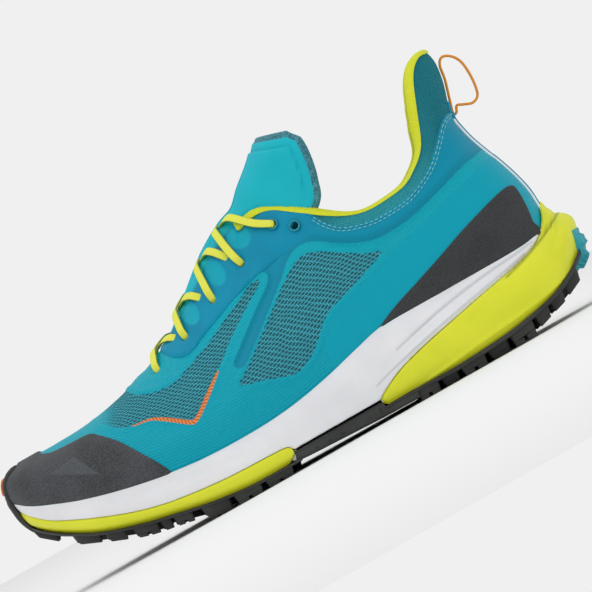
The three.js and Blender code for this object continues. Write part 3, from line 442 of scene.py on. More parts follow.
def make_piece(name, sheet, finish, nodes=(), numbers=(), smooth=35):
    """A Blender object from a sheet. numbers are the values kept on its points for the material."""
    mesh = bpy.data.meshes.new(name)
    mesh.from_pydata(place(sheet["co"]).tolist(), [], sheet["faces"].tolist())
    mesh.update()
    for key in numbers:
        layer = mesh.attributes.new(key, "FLOAT", "POINT")
        layer.data.foreach_set("value", sheet[key].astype(np.float32))
    mesh.materials.append(finish)
    mesh.shade_smooth()
    if smooth:
        mesh.set_sharp_from_angle(angle=math.radians(smooth))
    piece = put(name, mesh)
    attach(piece, "root")
    if nodes:
        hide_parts(*nodes)
    TOTAL[name] = len(sheet["faces"])
    print(f"{name}: {len(sheet['faces'])} triangles")
    return piece

# %% [markdown]
# ## Distances to the pattern's lines
# Panels, seams and ribs are drawn on the side view, in millimetres. For each point of a sheet the
# distance to such a line is worked out once. Steps in the surface, the knife's cut and the
# colours of the material then all follow the same line.

# %% Distance to a line and to an outline
def beside(points, line):
    """Signed distance of each point from an open line, positive on its left, and the way along."""
    a, b = line[:-1], line[1:]
    run = b - a
    size = np.linalg.norm(run, axis=1)
    start = np.concatenate(([0], np.cumsum(size)[:-1]))
    best = np.full(len(points), np.inf)
    along = np.zeros(len(points))
    sign = np.ones(len(points))
    for k in range(len(a)):
        d = points - a[k]
        t = np.clip(d @ run[k] / max(size[k] ** 2, 1e-9), 0, 1)
        off = d - t[:, None] * run[k]
        far = np.hypot(off[:, 0], off[:, 1])
        left = run[k, 0] * d[:, 1] - run[k, 1] * d[:, 0]
        nearer = far < best - 1e-9
        best = np.where(nearer, far, best)
        along = np.where(nearer, start[k] + t * size[k], along)
        sign = np.where(nearer, np.where(left >= 0, 1.0, -1.0), sign)
    return sign * best, along


def within(points, outline):
    """Signed distance from a closed outline, positive inside it."""
    ring = np.vstack((outline, outline[:1]))
    far = np.abs(beside(points, ring)[0])
    x, y = points.T
    inside = np.zeros(len(points), bool)
    for (x0, y0), (x1, y1) in zip(ring[:-1], ring[1:]):
        crosses = (y0 > y) != (y1 > y)
        where = x0 + (y - y0) * (x1 - x0) / (y1 - y0 if y1 != y0 else 1e-9)
        inside ^= crosses & (x < where)
    return np.where(inside, far, -far)


def step(value, low, high):
    """0 below low, 1 above high, smooth between."""
    t = np.clip((value - low) / (high - low), 0, 1)
    return t * t * (3 - 2 * t)


def ridge(value, middle, half):
    """A soft ridge of height 1 at middle that falls to 0 at half either side."""
    t = np.clip(np.abs(value - middle) / half, 0, 1)
    return (1 - t * t) ** 2


square = np.array(((0, 0), (10, 0), (10, 10), (0, 10)))
print("from the middle of a 10 mm square to its edge:", within(np.array(((5.0, 5.0),)), square))

# %% [markdown]
# ## The pattern of the upper
# The upper is one knitted sheet under printed film. Where the film is left open the knit shows as
# an airy mesh. These outlines are the film's openings, its darker bands and its raised rims,
# as along and up in millimetres on the side view.

# %% Edges of the upper
COLLAR_LINE = np.array((
    (0.53, 0.758), (0.556, 0.772), (0.573, 0.774), (0.587, 0.768), (0.6, 0.755), (0.615, 0.733),
    (0.635, 0.704), (0.654, 0.676), (0.678, 0.646), (0.7, 0.626), (0.722, 0.616), (0.75, 0.616),
    (0.79, 0.627), (0.817, 0.658), (0.837, 0.692), (0.85, 0.733), (0.866, 0.815), (0.883, 0.897),
    (0.897, 0.938), (0.913, 0.957), (0.928, 0.953),
)) * (LENGTH, HEIGHT)
COLLAR_RISE, COLLAR_TILT = 2.0, 0.06
# middle along, middle up, half length, half height of the light dips in the eyestay
SCALLOPS = ((120.8, 89.0, 4.3, 6.2), (140.4, 99.2, 4.4, 6.4), (158.2, 108.4, 5.6, 5.2))
CUFF_LINE = np.array((
    (190, 108), (193.5, 100), (197, 94.2), (203, 88.8), (215, 85.3), (225, 85), (237, 86.3),
    (251, 93), (261, 102), (268, 108.8), (274, 109.5), (290, 108.3),
))
THROAT = np.array((
    (0.298, 0), (0.302, 0.04), (0.32, 0.075), (0.37, 0.1), (0.44, 0.115), (0.51, 0.13),
    (0.57, 0.155), (0.62, 0.2), (0.66, 0.235),
)) * (LENGTH, BALL_WIDTH)
EYELETS = np.array((
    (0.314, 0.503), (0.378, 0.551), (0.444, 0.61), (0.51, 0.671), (0.583, 0.726), (0.612, 0.687),
)) * (LENGTH, HEIGHT)
EYELET_RADIUS = 2.0
print("eyelets on each side:", len(EYELETS))

# %% Windows, band and trim
FRONT_WINDOW = (
    (57, 82), (73, 82), (75.5, 75), (78, 70), (82, 67.4), (88, 65.2), (95, 64.4), (101.5, 65.2),
    (114, 69.6), (124, 73.6), (134, 78.4), (143, 82.6), (151, 86.4), (156, 87.2), (156, 85),
    (148, 80), (138, 73.6), (129, 67), (121, 60.5), (113, 55), (106, 49.6), (100, 45.4), (97, 45.2),
    (91, 49.6), (85, 53.6), (79, 55.6), (69, 57.2), (62, 62), (57, 68),
)
SIDE_WINDOW = (
    (125, 48.4), (134, 45.4), (143, 42.2), (150, 40.2), (157, 42), (165, 47), (170.5, 52.4),
    (176.5, 57), (184, 59.8), (193, 62.4), (203, 66), (213, 69.8), (205, 73.4), (196, 79),
    (187, 84.6), (180, 86.6), (173.5, 84.6), (165, 79), (155, 71.4), (143, 62.2), (134, 55.2),
)
BAND = (
    (127, 58.5), (128, 55.5), (131, 54.8), (134, 56.7), (143, 63.5), (155, 73), (166, 82),
    (172, 87.6), (178, 90.8), (184, 91), (190, 88.4), (196, 84), (204, 79.6), (212, 76.8),
    (222, 76), (235, 77.5), (250, 81.5), (265, 86), (292, 93), (292, 112), (268, 112), (252, 112),
    (215, 104), (192, 118), (165, 118), (152, 100), (150, 92.4), (157, 90.6), (161, 87.6),
    (159, 83.2), (150, 76.6), (140, 69), (131, 61.8),
)
FILM_EDGE = (
    (166, 30), (167, 40), (169, 47.5), (173, 53), (179, 57), (189, 60), (203, 63), (220, 67.5),
    (240, 73), (260, 78.5), (292, 87),
)
ROPE = (
    (69, 56.6), (75, 55.6), (81, 54.6), (86, 52), (91, 48.6), (95, 45.6), (98, 44), (101.5, 45.6),
    (107, 49.6), (113, 54.2), (121, 60.2),
)
print("points of the windows:", len(FRONT_WINDOW), len(SIDE_WINDOW), "band:", len(BAND))

# %% [markdown]
# ## Creases
# Even a new shoe is not taut everywhere: it dips behind the toe box, bulges over the ankle
# padding and wrinkles where the heel tab bends. Each row places one long soft trough (negative)
# or ridge (positive) in the shoe's own sizes.

# %% Creases placed one by one
# middle along, middle up, half length, half width, turn in degrees, height
CREASES = (
    (88, 74, 12, 4, 78, -0.5),
    (74, 60, 16, 5, 62, -0.35),
    (92, 40, 14, 4.5, 70, 0.3),
    (104, 38, 13, 4, 72, -0.35),
    (120, 43, 13, 5, 66, 0.3),
    (186, 74, 20, 9, -30, 0.4),
    (200, 52, 30, 7, 16, -0.35),
    (236, 62, 34, 8, 14, 0.35),
    (262, 74, 20, 5, 14, -0.3),
    (270, 116, 8, 2, 28, -0.7),
    (272, 123, 7, 2.2, 20, -0.5),
    (268, 110, 8, 2, 34, 0.5),
    (218, 90, 26, 3.4, -2, 0.5),
    (252, 97, 12, 3, 46, 0.4),
    (180, 98, 12, 4, -34, -0.4),
)


def creased(x, z):
    """Sum of the soft troughs and ridges at each point of the side view, in mm."""
    total = np.zeros_like(x)
    for middle_x, middle_z, half_long, half_wide, turn, height in CREASES:
        c, s = math.cos(math.radians(turn)), math.sin(math.radians(turn))
        along = (x - middle_x) * c + (z - middle_z) * s
        across = (z - middle_z) * c - (x - middle_x) * s
        total += height * ridge(along, 0, half_long) * ridge(across, 0, half_wide)
    return total

# %% [markdown]
# ## The skin of the upper
# A fine grid over the last, from the sole line up the outer side, over the instep and down the
# inner side. The way a sculptor would: the whole surface first, then the relief pressed into it,
# and only then the cut along collar and throat.

# %% The whole skin
STATIONS, CLIMB, CAP = 290, 84, 8


def last_sheet():
    """The whole last as one sheet; climb is the way up from the nearer sole line, in mm."""
    turn = np.linspace(0, math.pi, STATIONS + 1)
    share = (1 - np.cos(turn))[:, None] / 2
    level = np.linspace(0, 1, CLIMB + 1)[None, :]
    outer, inner = on_last(share, level, OUTER), on_last(share, level, INNER)[:, ::-1]
    mix = np.linspace(0, 1, CAP + 2)[1:-1][None, :, None]
    cap = outer[:, -1:] * (1 - mix) + inner[:, :1] * mix
    points = np.concatenate((outer, cap, inner), axis=1)
    levels = np.concatenate((level[0], np.ones(CAP), level[0][::-1]))
    faces = grid_faces(*points.shape[:2])
    step_up = np.linalg.norm(np.diff(points, axis=1), axis=2)
    from_outer = np.concatenate((np.zeros((len(points), 1)), np.cumsum(step_up, axis=1)), axis=1)
    climb = np.minimum(from_outer, from_outer[:, -1:] - from_outer)
    levels = np.tile(levels, STATIONS + 1)
    return joined(points.reshape(-1, 3), faces, level=levels, climb=climb.ravel())


skin = last_sheet()
skin = facing(skin, skin["co"] * (0, 1, 0))
print("points on the skin:", len(skin["co"]))

# %% Distances to the pattern, kept on the skin
FAR_OFF = 400.0
THROAT_FROM, NO_THROAT = 0.38 * HEIGHT, 50.0


def leaning(y):
    """The collar lies lower away from the middle, a little less on the inner side."""
    return np.where(y < 0, y, -0.75 * y)


def tilted(co):
    """Side view of points with the lean of the ankle taken out."""
    return np.stack((co[:, 0], co[:, 2] - COLLAR_TILT * leaning(co[:, 1]) - COLLAR_RISE), axis=1)


def add_fields(sheet):
    """Distances to every line of the pattern, in mm, kept on the points of a sheet."""
    co = sheet["co"]
    side = co[:, [0, 2]]
    ankle = tilted(co)
    collar = drawn(COLLAR_LINE, 90)
    back = collar[-1, 0] + 40
    above = ((back, collar[-1, 1]), (back, FAR_OFF), (collar[0, 0], FAR_OFF))
    sheet["below_collar"] = -within(ankle, np.vstack((collar, above)))
    throat = drawn(THROAT, 40)
    mouth = np.vstack((throat * (1, -1), throat[::-1]))
    sheet["off_throat"] = np.where(co[:, 2] > THROAT_FROM, -within(co[:, :2], mouth), NO_THROAT)
    cuff = drawn(CUFF_LINE, 90)
    sheet["cuff"] = within(ankle, np.vstack((cuff, ((330, FAR_OFF), (190, FAR_OFF)))))
    sheet["window_1"] = within(side, drawn(FRONT_WINDOW, 150, closed=True))
    sheet["window_2"] = within(side, drawn(SIDE_WINDOW, 130, closed=True))
    sheet["band"] = within(side, drawn(BAND, 190, closed=True))
    sheet["film"] = -beside(side, drawn(FILM_EDGE, 60))[0]
    sheet["rope"], sheet["rope_along"] = beside(side, drawn(ROPE, 70))
    dips = [1 - np.hypot((side[:, 0] - x) / wide, (side[:, 1] - z) / tall)
            for x, z, wide, tall in SCALLOPS]
    sheet["scallop"] = 5.0 * np.max(dips, axis=0)  # about mm, as a dip is some 5 mm across its half
    return sheet


add_fields(skin)
print("points in the windows:", int((skin["window_1"] > 0).sum() + (skin["window_2"] > 0).sum()))

# %% [markdown]
# ## Materials
# A real shoe is a few materials, each made in its own way: knitted yarn, printed film, moulded
# foam, pressed rubber. Colour, grain and gloss come from nodes, so that they hold from any
# distance. One function turns a printed sRGB colour to the linear values the renderer wants, and
# one adds a node with its settings and links. A short table tells it how each kind is used here.

# %% Colours and nodes
def colour(code):
    """Linear RGBA from an sRGB hex colour."""
    parts = [int(code[k:k + 2], 16) / 255 for k in (1, 3, 5)]
    linear = [c / 12.92 if c <= 0.04045 else ((c + 0.055) / 1.055) ** 2.4 for c in parts]
    return (*linear, 1.0)


# short name: Blender's node, its settings, its inputs in the order used here, its output
NODES = {
    "number": ("ShaderNodeAttribute", {}, (), 2),
    "place": ("ShaderNodeTexCoord", {}, (), 3),
    "split": ("ShaderNodeSeparateXYZ", {}, (0,), 0),
    "scaled": ("ShaderNodeVectorMath", {"operation": "SCALE"}, (0, 3), 0),
    "moved": ("ShaderNodeVectorMath", {"operation": "ADD"}, (0, 1), 0),
    "noise": ("ShaderNodeTexNoise", {}, ("Vector", "Scale", "Detail", "Roughness"), 0),
    "cells": ("ShaderNodeTexVoronoi", {}, ("Vector", "Scale", "Randomness"), 0),
    "fade": ("ShaderNodeMapRange", {"interpolation_type": "SMOOTHSTEP"},
             ("Value", "From Min", "From Max", "To Min", "To Max"), 0),
    "mix": ("ShaderNodeMix", {"data_type": "RGBA"}, (0, 6, 7), 2),
    "bump": ("ShaderNodeBump", {}, ("Height", "Distance", "Strength"), 0),
    "seen": ("ShaderNodeLightPath", {}, (), "Is Camera Ray"),
}


def node(tree, kind, *inputs, out=None, **settings):
    """Adds a node of NODES, or else a Math node of that operation, and sets or links its inputs."""
    blender_name, fixed, keys, usual = NODES.get(
        kind, ("ShaderNodeMath", {"operation": kind}, (0, 1, 2), 0))
    made = tree.nodes.new(blender_name)
    for key, value in {**fixed, **settings}.items():
        setattr(made, key, value)
    for key, value in zip(keys, inputs):
        if isinstance(value, bpy.types.NodeSocket):
            tree.links.new(value, made.inputs[key])
        else:
            made.inputs[key].default_value = value
    return made.outputs[usual if out is None else out]


print("white in linear values:", colour("#FFFFFF"), "kinds of node:", len(NODES) + 1)

# %% Start and end of a material
def finish_of(name, base, roughness, ior=1.5, **sockets):
    """A material, its principled surface, and node() ready to add to its tree."""
    made = bpy.data.materials.new(name)
    made.use_nodes = True
    made.diffuse_color = colour(base)
    surface = made.node_tree.nodes["Principled BSDF"]
    plain = {"Base_Color": colour(base), "Roughness": roughness, "IOR": ior, **sockets}
    for key, value in plain.items():
        surface.inputs[key.replace("_", " ")].default_value = value
    return made, surface, partial(node, made.node_tree)


def dress(surface, add, tint, height, depth, rough=None):
    """Links a colour, a relief of depth mm and, where given, a roughness to the surface."""
    outputs = {"Base Color": tint, "Normal": add("bump", height, depth / 1000, 1.0)}
    if rough is not None:
        outputs["Roughness"] = rough
    for key, output in outputs.items():
        surface.id_data.links.new(output, surface.inputs[key])


def in_mm(add):
    """Places on the object in millimetres, from under the middle of the shoe."""
    return add("scaled", add("place"), 1000.0)


def lifted(add, value):
    """Brings a wave between -1 and 1 into 0 to 1."""
    return add("MULTIPLY_ADD", value, 0.5, 0.5)

# %% [markdown]
# ### Printed film over knit
# Polyurethane film is heat-pressed on the polyester knit. It gives a satin skin in which the
# knit's rows show through as low ripples. Where the film is open, the bare engineered mesh shows:
# staggered slits about 2.5 mm apart in rows 1.5 mm apart, painted dark for the shade one sees
# through them.

# %% Colours of the film and the cuff
CUFF_ROW, CUFF_LOOP = 1.1, 1.3


def film_tints(add, z, drift):
    """The film, lighter above, with its smooth lower side, its darker band and painted shade inside
    the band's edge.
    """
    lighter = add("fade", add("ADD", z, add("MULTIPLY", drift, 14)), 34, 100)
    base = add("mix", lighter, colour("#02A6BC"), colour("#06AFC2"))
    smooth_film = add("fade", add("number", attribute_name="film"), -0.3, 0.3)
    base = add("mix", smooth_film, base, colour("#01A5BC"))
    in_band = add("number", attribute_name="band")
    band = add("fade", in_band, -0.25, 0.35)
    base = add("mix", band, base, colour("#0090AE"))
    # painted shade: darker inside the band's edge, where the surface steps at the pressed rib and
    # the padded ankle
    rim = add("MULTIPLY", band, add("fade", in_band, 0.2, 4.5, 1.0, 0.0))
    return add("mix", add("MULTIPLY", rim, 0.35), base, colour("#007C98")), smooth_film, band


def cuff_knit(add, x, z, climb):
    """The knit of the cuff, darker up the heel tab, and its loops."""
    rows = add("SINE", add("MULTIPLY", climb, 2 * math.pi / CUFF_ROW))
    columns = add("SINE", add("MULTIPLY", x, 2 * math.pi / CUFF_LOOP))
    loops = lifted(add, add("MULTIPLY", rows, columns))
    tint = add("mix", add("fade", z, 86, 104), colour("#35A9B6"), colour("#1D8494"))
    tint = add("mix", add("fade", x, 108, 118), tint, colour("#067786"))
    return add("mix", add("MULTIPLY", loops, 0.3), tint, colour("#4A9FAB")), loops

# %% Bare mesh and orange trim
SLIT_PITCH, SLIT_ROW, SLIT_LONG, SLIT_WIDE = 2.5, 1.5, 1.0, 0.42
MESH_THREAD, TRIM_STRAND = 0.9, 1.7


def bare_mesh(add, where, x, climb):
    """The mesh in the windows: each second row of slits is shifted by half a slit."""
    wave = add("noise", where, 1 / 9, 1)
    across = add("MULTIPLY_ADD", wave, 1.6, x)
    up = add("MULTIPLY_ADD", wave, 1.2, add("MULTIPLY_ADD", x, -0.16, climb))
    row = add("DIVIDE", up, SLIT_ROW)
    shift = add("MULTIPLY", add("FLOOR", row), 0.5)
    cell = add("FRACT", add("ADD", add("DIVIDE", across, SLIT_PITCH), shift))
    du = add("MULTIPLY", add("SUBTRACT", cell, 0.5), SLIT_PITCH / SLIT_LONG)
    dv = add("MULTIPLY", add("SUBTRACT", add("FRACT", row), 0.5), SLIT_ROW / SLIT_WIDE)
    dv = add("MULTIPLY_ADD", du, 0.4, dv)
    off_middle = add("ADD", add("MULTIPLY", du, du), add("MULTIPLY", dv, dv))
    ragged = add("MULTIPLY_ADD", add("noise", where, 1 / 1.1, 2), 0.9, -0.45)
    slit = add("fade", add("ADD", off_middle, ragged), 0.25, 1.3, 1.0, 0.0)
    slant = add("MULTIPLY_ADD", across, 2 * math.pi / MESH_THREAD, add("MULTIPLY", up, 2))
    thread = lifted(add, add("SINE", slant))
    tint = add("mix", thread, colour("#2890A3"), colour("#5ABBCB"))
    # the slits are painted shade: dark for the inside of the shoe seen through them
    return add("mix", add("MULTIPLY", slit, 0.8), tint, colour("#184655")), slit, thread


def orange_trim(add):
    """The braided trim under the front window, widest in its middle, and where it shows."""
    across, along = (add("number", attribute_name=name) for name in ("rope", "rope_along"))
    slant = add("MULTIPLY_ADD", along, 2 * math.pi / TRIM_STRAND, add("MULTIPLY", across, 2.6))
    tint = add("mix", lifted(add, add("SINE", slant)), colour("#D75F12"), colour("#F7A468"))
    wide = add("fade", along, 2, 26, 0.45, 1.15)
    narrow = add("fade", along, 44, 66, 1.0, 0.4)
    tips = add("ADD", add("fade", along, 0, 4, -1.6, 0), add("fade", along, 57.5, 60.5, 0, -1.6))
    half = add("MULTIPLY_ADD", wide, narrow, tips)
    return tint, add("fade", add("SUBTRACT", half, add("ABSOLUTE", across)), -0.1, 0.15)

# %% The whole skin of the upper in one material
FILM_RIPPLE = 1.5


def film_over_knit():
    made, surface, add = finish_of("polyurethane film over knit", "#0FB4C4", 0.5, 1.45,
                                   Specular_IOR_Level=0.18)
    where = in_mm(add)
    x, z = (add("split", where, out=k) for k in (0, 2))
    climb = add("number", attribute_name="climb")
    drift = add("noise", where, 1 / 30, 2)
    base, smooth_film, band = film_tints(add, z, drift)
    cuff = add("fade", add("number", attribute_name="cuff"), -0.3, 0.3)
    cuff_tint, loops = cuff_knit(add, x, z, climb)
    base = add("mix", cuff, base, cuff_tint)

    windows = [add("number", attribute_name=name) for name in ("window_1", "window_2")]
    opening = add("fade", add("MAXIMUM", *windows), -0.2, 0.3)
    diagonal = add("MULTIPLY_ADD", z, -0.7, x)
    toe_fade = add("fade", add("MULTIPLY_ADD", drift, 6, diagonal), -136, -122)
    opening = add("MULTIPLY", opening, toe_fade)
    mesh_tint, slit, thread = bare_mesh(add, where, x, climb)
    base = add("mix", opening, base, mesh_tint)
    trim_tint, trim = orange_trim(add)
    base = add("mix", trim, base, trim_tint)

    rows = add("MULTIPLY", climb, 2 * math.pi / FILM_RIPPLE)
    ripple = add("SINE", add("MULTIPLY_ADD", add("noise", where, 1 / 5, 1), 5.0, rows))
    ripple = add("MULTIPLY", lifted(add, ripple), 0.55)
    for covered in (smooth_film, band, cuff):
        ripple = add("MULTIPLY", ripple, add("SUBTRACT", 1.0, covered))
    relief = add("MULTIPLY_ADD", add("noise", where, 1 / 0.35, 3, 0.6), 0.16, ripple)
    relief = add("MULTIPLY_ADD", add("MULTIPLY", loops, cuff), 0.9, relief)
    sunk = add("SUBTRACT", add("MULTIPLY", thread, 0.5), add("MULTIPLY", slit, 2.2))
    relief = add("MULTIPLY_ADD", sunk, opening, relief)
    rough = add("fade", add("MAXIMUM", opening, cuff), 0, 1, 0.42, 0.8)
    dress(surface, add, base, relief, 0.5, rough)
    return made


FILM_OVER_KNIT = film_over_knit()
print("nodes in the upper's material:", len(FILM_OVER_KNIT.node_tree.nodes))

# %% [markdown]
# ### Textured film, rubber and foam
# The toe cap and the heel counter are a thicker film with a leathery grain and a pale speckle. The
# outsole is carbon-black rubber pressed in a spark-eroded mould, so it is matt. The midsole is
# EVA foam moulded hot: a closed satin skin with a very fine pebble.

# %% Moulded and pressed materials
def moulded(name, base, dark, roughness, lump, depth, ior=1.5, patch=None, speckle=0.0, **sockets):
    """A moulded skin: slow drift of colour, a fine grain of lump mm and, where asked for, a patch.
    A patch is a number kept on the points, its tint and how softly it ends. It lies where the
    number is above 0, or, with a half width, where the number is a distance below that width."""
    made, surface, add = finish_of(name, base, roughness, ior, **sockets)
    where = in_mm(add)
    drift = add("noise", where, 1 / 22, 3)
    tint = add("mix", add("fade", drift, 0.35, 0.7), colour(base), colour(dark))
    if patch:
        key, light, soft, half_width = patch
        inside = add("number", attribute_name=key)
        if half_width:
            inside = add("SUBTRACT", half_width, inside)
        tint = add("mix", add("fade", inside, -soft, soft), tint, colour(light))
    grain = add("noise", where, 1 / lump, 3, 0.6)
    if speckle:
        tint = add("mix", add("fade", grain, 0.42, 0.62, 0.0, speckle), tint, colour("#85898C"))
    rough = add("fade", grain, 0.3, 0.7, roughness - 0.06, roughness + 0.08)
    dress(surface, add, tint, grain, depth, rough)
    return made


TOE_FILM = moulded("grained polyurethane film", "#404347", "#303336", 0.62, 0.7, 0.35,
                   patch=("facet", "#4B4F52", 0.4, 0), speckle=0.2, Specular_IOR_Level=0.35)
DARK_FILM = moulded("textured polyurethane film", "#313336", "#292B2D", 0.62, 0.6, 0.2,
                    speckle=0.1, Specular_IOR_Level=0.35)
TEAL_FILM = moulded("smooth polyurethane film", "#0093B6", "#008AAC", 0.5, 0.5, 0.03,
                    Specular_IOR_Level=0.18)
EYESTAY_FILM = moulded("smooth film with light dips", "#0093B6", "#008AAC", 0.5, 0.5, 0.03,
                       patch=("scallop", "#05A9C0", 0.7, 0), Specular_IOR_Level=0.18)
RUBBER = moulded("pressed carbon rubber", "#3C3E3C", "#303230", 0.7, 0.6, 0.05, 1.52,
                 Specular_IOR_Level=0.4)
TEAL_RUBBER = moulded("pressed teal rubber", "#2AA5B5", "#1D93A4", 0.6, 0.6, 0.04, 1.52)
ORANGE_RUBBER = moulded("pressed orange rubber", "#E8742A", "#D9651C", 0.5, 0.6, 0.03, 1.52)
# The groove patches of both foams are painted shade: darker along the white foam's crease and shelf
# and along the lime rim's groove.
WHITE_FOAM = moulded("moulded white foam", "#F0F0F3", "#E9E9ED", 0.5, 0.7, 0.03, 1.46,
                     patch=("groove", "#D2D3DA", 0.6, 0.5), Subsurface_Weight=0.15,
                     Subsurface_Scale=0.002)
LIME_FOAM = moulded("moulded lime foam", "#E9EC2C", "#E0E524", 0.48, 0.7, 0.03, 1.46,
                    patch=("groove", "#AAB31A", 0.7, 0.8))
PIPING = moulded("white woven piping", "#FBFCFC", "#EEF1F2", 0.7, 0.4, 0.05)
TEAL_RING = moulded("moulded teal ring", "#0F8FA6", "#0C8196", 0.4, 0.5, 0.02)

# %% [markdown]
# ### Cloths
# Linings, laces and the tongue are polyester yarn. At this distance the eye reads the loops as a
# fine regular grain with a soft sheen, so each cloth is a pattern of rows and columns at its
# real pitch, drawn a little coarser where it would be lost.

# %% Knit and backed cloth
def knitted(name, base, dark, pitch, depth):
    """Cloth with loops pitch mm apart, darker between them."""
    made, surface, add = finish_of(name, base, 0.85, Sheen_Weight=0.08, Specular_IOR_Level=0.3)
    where = in_mm(add)
    uneven = add("moved", where, add("noise", where, 1 / 3, 1, out=1))
    loops = add("fade", add("cells", uneven, 1 / pitch, 0.35), 0.15, 0.6, 1.0, 0.0)
    drift = add("noise", uneven, 1 / 14, 2)
    shade = add("MULTIPLY_ADD", drift, 0.5, add("MULTIPLY", loops, 0.6))
    dress(surface, add, add("mix", shade, colour(dark), colour(base)), loops, depth)
    return made


def backed_cloth():
    """Smooth backed cloth with a border of open mesh, both in one piece."""
    made, surface, add = finish_of("cyan backed cloth", "#1BB2C2", 0.6, Specular_IOR_Level=0.18)
    where = in_mm(add)
    base = add("mix", add("noise", where, 1 / 18, 2), colour("#0DB4C6"), colour("#1FC2D0"))
    holes = add("fade", add("cells", where, 1 / 0.8, 0.5), 0.2, 0.6, 1.0, 0.0)
    mesh_tint = add("mix", holes, colour("#5595A2"), colour("#2E6C7B"))
    border = add("fade", add("number", attribute_name="border"), -0.25, 0.25)
    grain = add("noise", where, 1 / 0.5, 3, 0.6)
    relief = add("SUBTRACT", add("MULTIPLY", grain, 0.25), add("MULTIPLY", holes, border))
    dress(surface, add, add("mix", border, base, mesh_tint), relief, 0.25)
    return made


LIME_KNIT = knitted("lime polyester knit", "#EAF03A", "#D8DE26", 0.9, 0.16)
TONGUE_CLOTH = backed_cloth()
FOOTBED_CLOTH = knitted("black footbed cloth", "#3A3C40", "#242628", 0.9, 0.1)

# %% Woven lace, cord and thread
YARN_PITCH, RIB_PITCH = 1.25, 1.1


def flat_woven(name, base, dark, edge=None):
    """A lace: two sets of yarns meet in a herringbone down its middle."""
    made, surface, add = finish_of(name, base, 0.75, Sheen_Weight=0.1, Specular_IOR_Level=0.3)
    along, across = (add("number", attribute_name=key) for key in ("lace_along", "lace_across"))
    off_middle = add("ABSOLUTE", across)
    slant = add("MULTIPLY_ADD", off_middle, 0.9, along)
    yarn = add("SINE", add("MULTIPLY", slant, 2 * math.pi / YARN_PITCH))
    rib = add("COSINE", add("MULTIPLY", across, 2 * math.pi / RIB_PITCH))
    weave = lifted(add, add("MULTIPLY", yarn, rib))
    tint = add("mix", lifted(add, weave), colour(dark), colour(base))
    # the darker sides are partly a darker edge yarn, partly painted shade along the lace's sides
    if edge:
        side = add("MULTIPLY", add("fade", off_middle, 1.6, 1.95), 0.8)
        tint = add("mix", side, tint, colour(edge))
    dress(surface, add, tint, weave, 0.06)
    return made


# the lace's darker sides: partly edge yarn, partly painted shade
LACE = flat_woven("lime flat woven lace", "#F0F25C", "#DDE038", "#5E7B33")
CORD = flat_woven("orange braided cord", "#F2A13A", "#D57718")
THREAD = flat_woven("light teal sewing thread", "#7CC9D2", "#4FAAB8")
print("materials:", len(bpy.data.materials))

# %% [markdown]
# ## The shell
# The relief comes first: the openings of the film lie lower, their rims stand up, the dark rib
# is pressed in, the ankle band is padded from behind and the cuff steps in above its seam. Then
# the sheet is cut along collar, throat and eyelets and given the wall of the real knit.

# %% Relief of the upper
PADDED_ANKLE, RIB_DEPTH, FILM_STEP = 1.5, 0.75, 0.25


def upper_relief(sheet):
    """Height of the shell's surface over the last at each point, in mm."""
    x, z = sheet["co"][:, 0], sheet["co"][:, 2]
    fading = step(x + 0.7 * (70 - z), 52, 72)
    rim_1 = ridge(sheet["window_1"], -1.3, 1.9) * 0.45 * fading
    rim_2 = ridge(sheet["window_2"], -1.5, 2.1) * 0.55
    open_1 = step(sheet["window_1"], -0.4, 1.2) * 0.35 * fading
    open_2 = step(sheet["window_2"], -0.4, 1.2) * 0.4
    rib = step(x, 176, 164) * step(sheet["band"], -0.3, 1.6) * RIB_DEPTH
    ankle = step(x, 182, 196) * step(x, 278, 262) * step(sheet["cuff"], 0.6, -0.6)
    padded = ankle * (PADDED_ANKLE * step(sheet["band"], -0.2, 2.6)
                      - 0.9 * step(sheet["band"], 3, 8) - 0.35 * ridge(sheet["band"], -0.9, 1.2))
    seam = ridge(sheet["cuff"], -0.9, 1.1) * 0.35 - 0.7 * step(sheet["cuff"], -0.3, 0.3)
    film_edge = step(sheet["film"], -0.5, 0.5) * (sheet["band"] < 0) * FILM_STEP
    rope = step(0.9 - np.abs(sheet["rope"]), -0.3, 0.7) * 0.5
    dips = 0.5 * step(sheet["scallop"], -0.4, 0.9)
    relief = rim_1 + rim_2 - open_1 - open_2 - rib + padded + seam + film_edge + rope - dips
    return relief + creased(x, z)


def eyelet_places():
    """Each eyelet's place on the skin and the skin's direction there, outer side first."""
    co, found = skin["co"], []
    for side in (OUTER, INNER):
        for x, z in EYELETS:
            far = np.hypot(co[:, 0] - x, co[:, 2] - z) + FAR_OFF * (co[:, 1] * side < 0)
            k = np.argmin(far)
            found.append((np.array((x, co[k, 1], z)), skin["normal"][k]))
    return found


EYES = eyelet_places()
skin["eye"] = np.min([np.linalg.norm(skin["co"] - spot, axis=1) for spot, _ in EYES], axis=0)
skin["relief"] = upper_relief(skin)
print("relief in mm:", round(skin["relief"].min(), 2), "to", round(skin["relief"].max(), 2))

# %% Cut and wall of the upper
LOOKS = ("climb", "window_1", "window_2", "band", "cuff", "film", "rope", "rope_along")

shell = clip(skin, skin["below_collar"])
shell = clip(shell, shell["off_throat"])
shell = clip(shell, shell["eye"] - EYELET_RADIUS)
make_piece("upper_shell", slab(shell, -WALL, shell["relief"]), FILM_OVER_KNIT, ["upper"],
           LOOKS)

# %% [markdown]
# ## Overlays
# The toe cap, heel counter, eyestay and heel tape are cut from thicker film and pressed on. The
# press rounds their edges down, so each overlay here stands at its full thickness inside and
# falls to the skin within the last millimetre.

# %% An overlay of film
SUNK, EDGE_PROUD = 0.25, 0.06  # how far the film reaches into the skin, and its bare edge above it


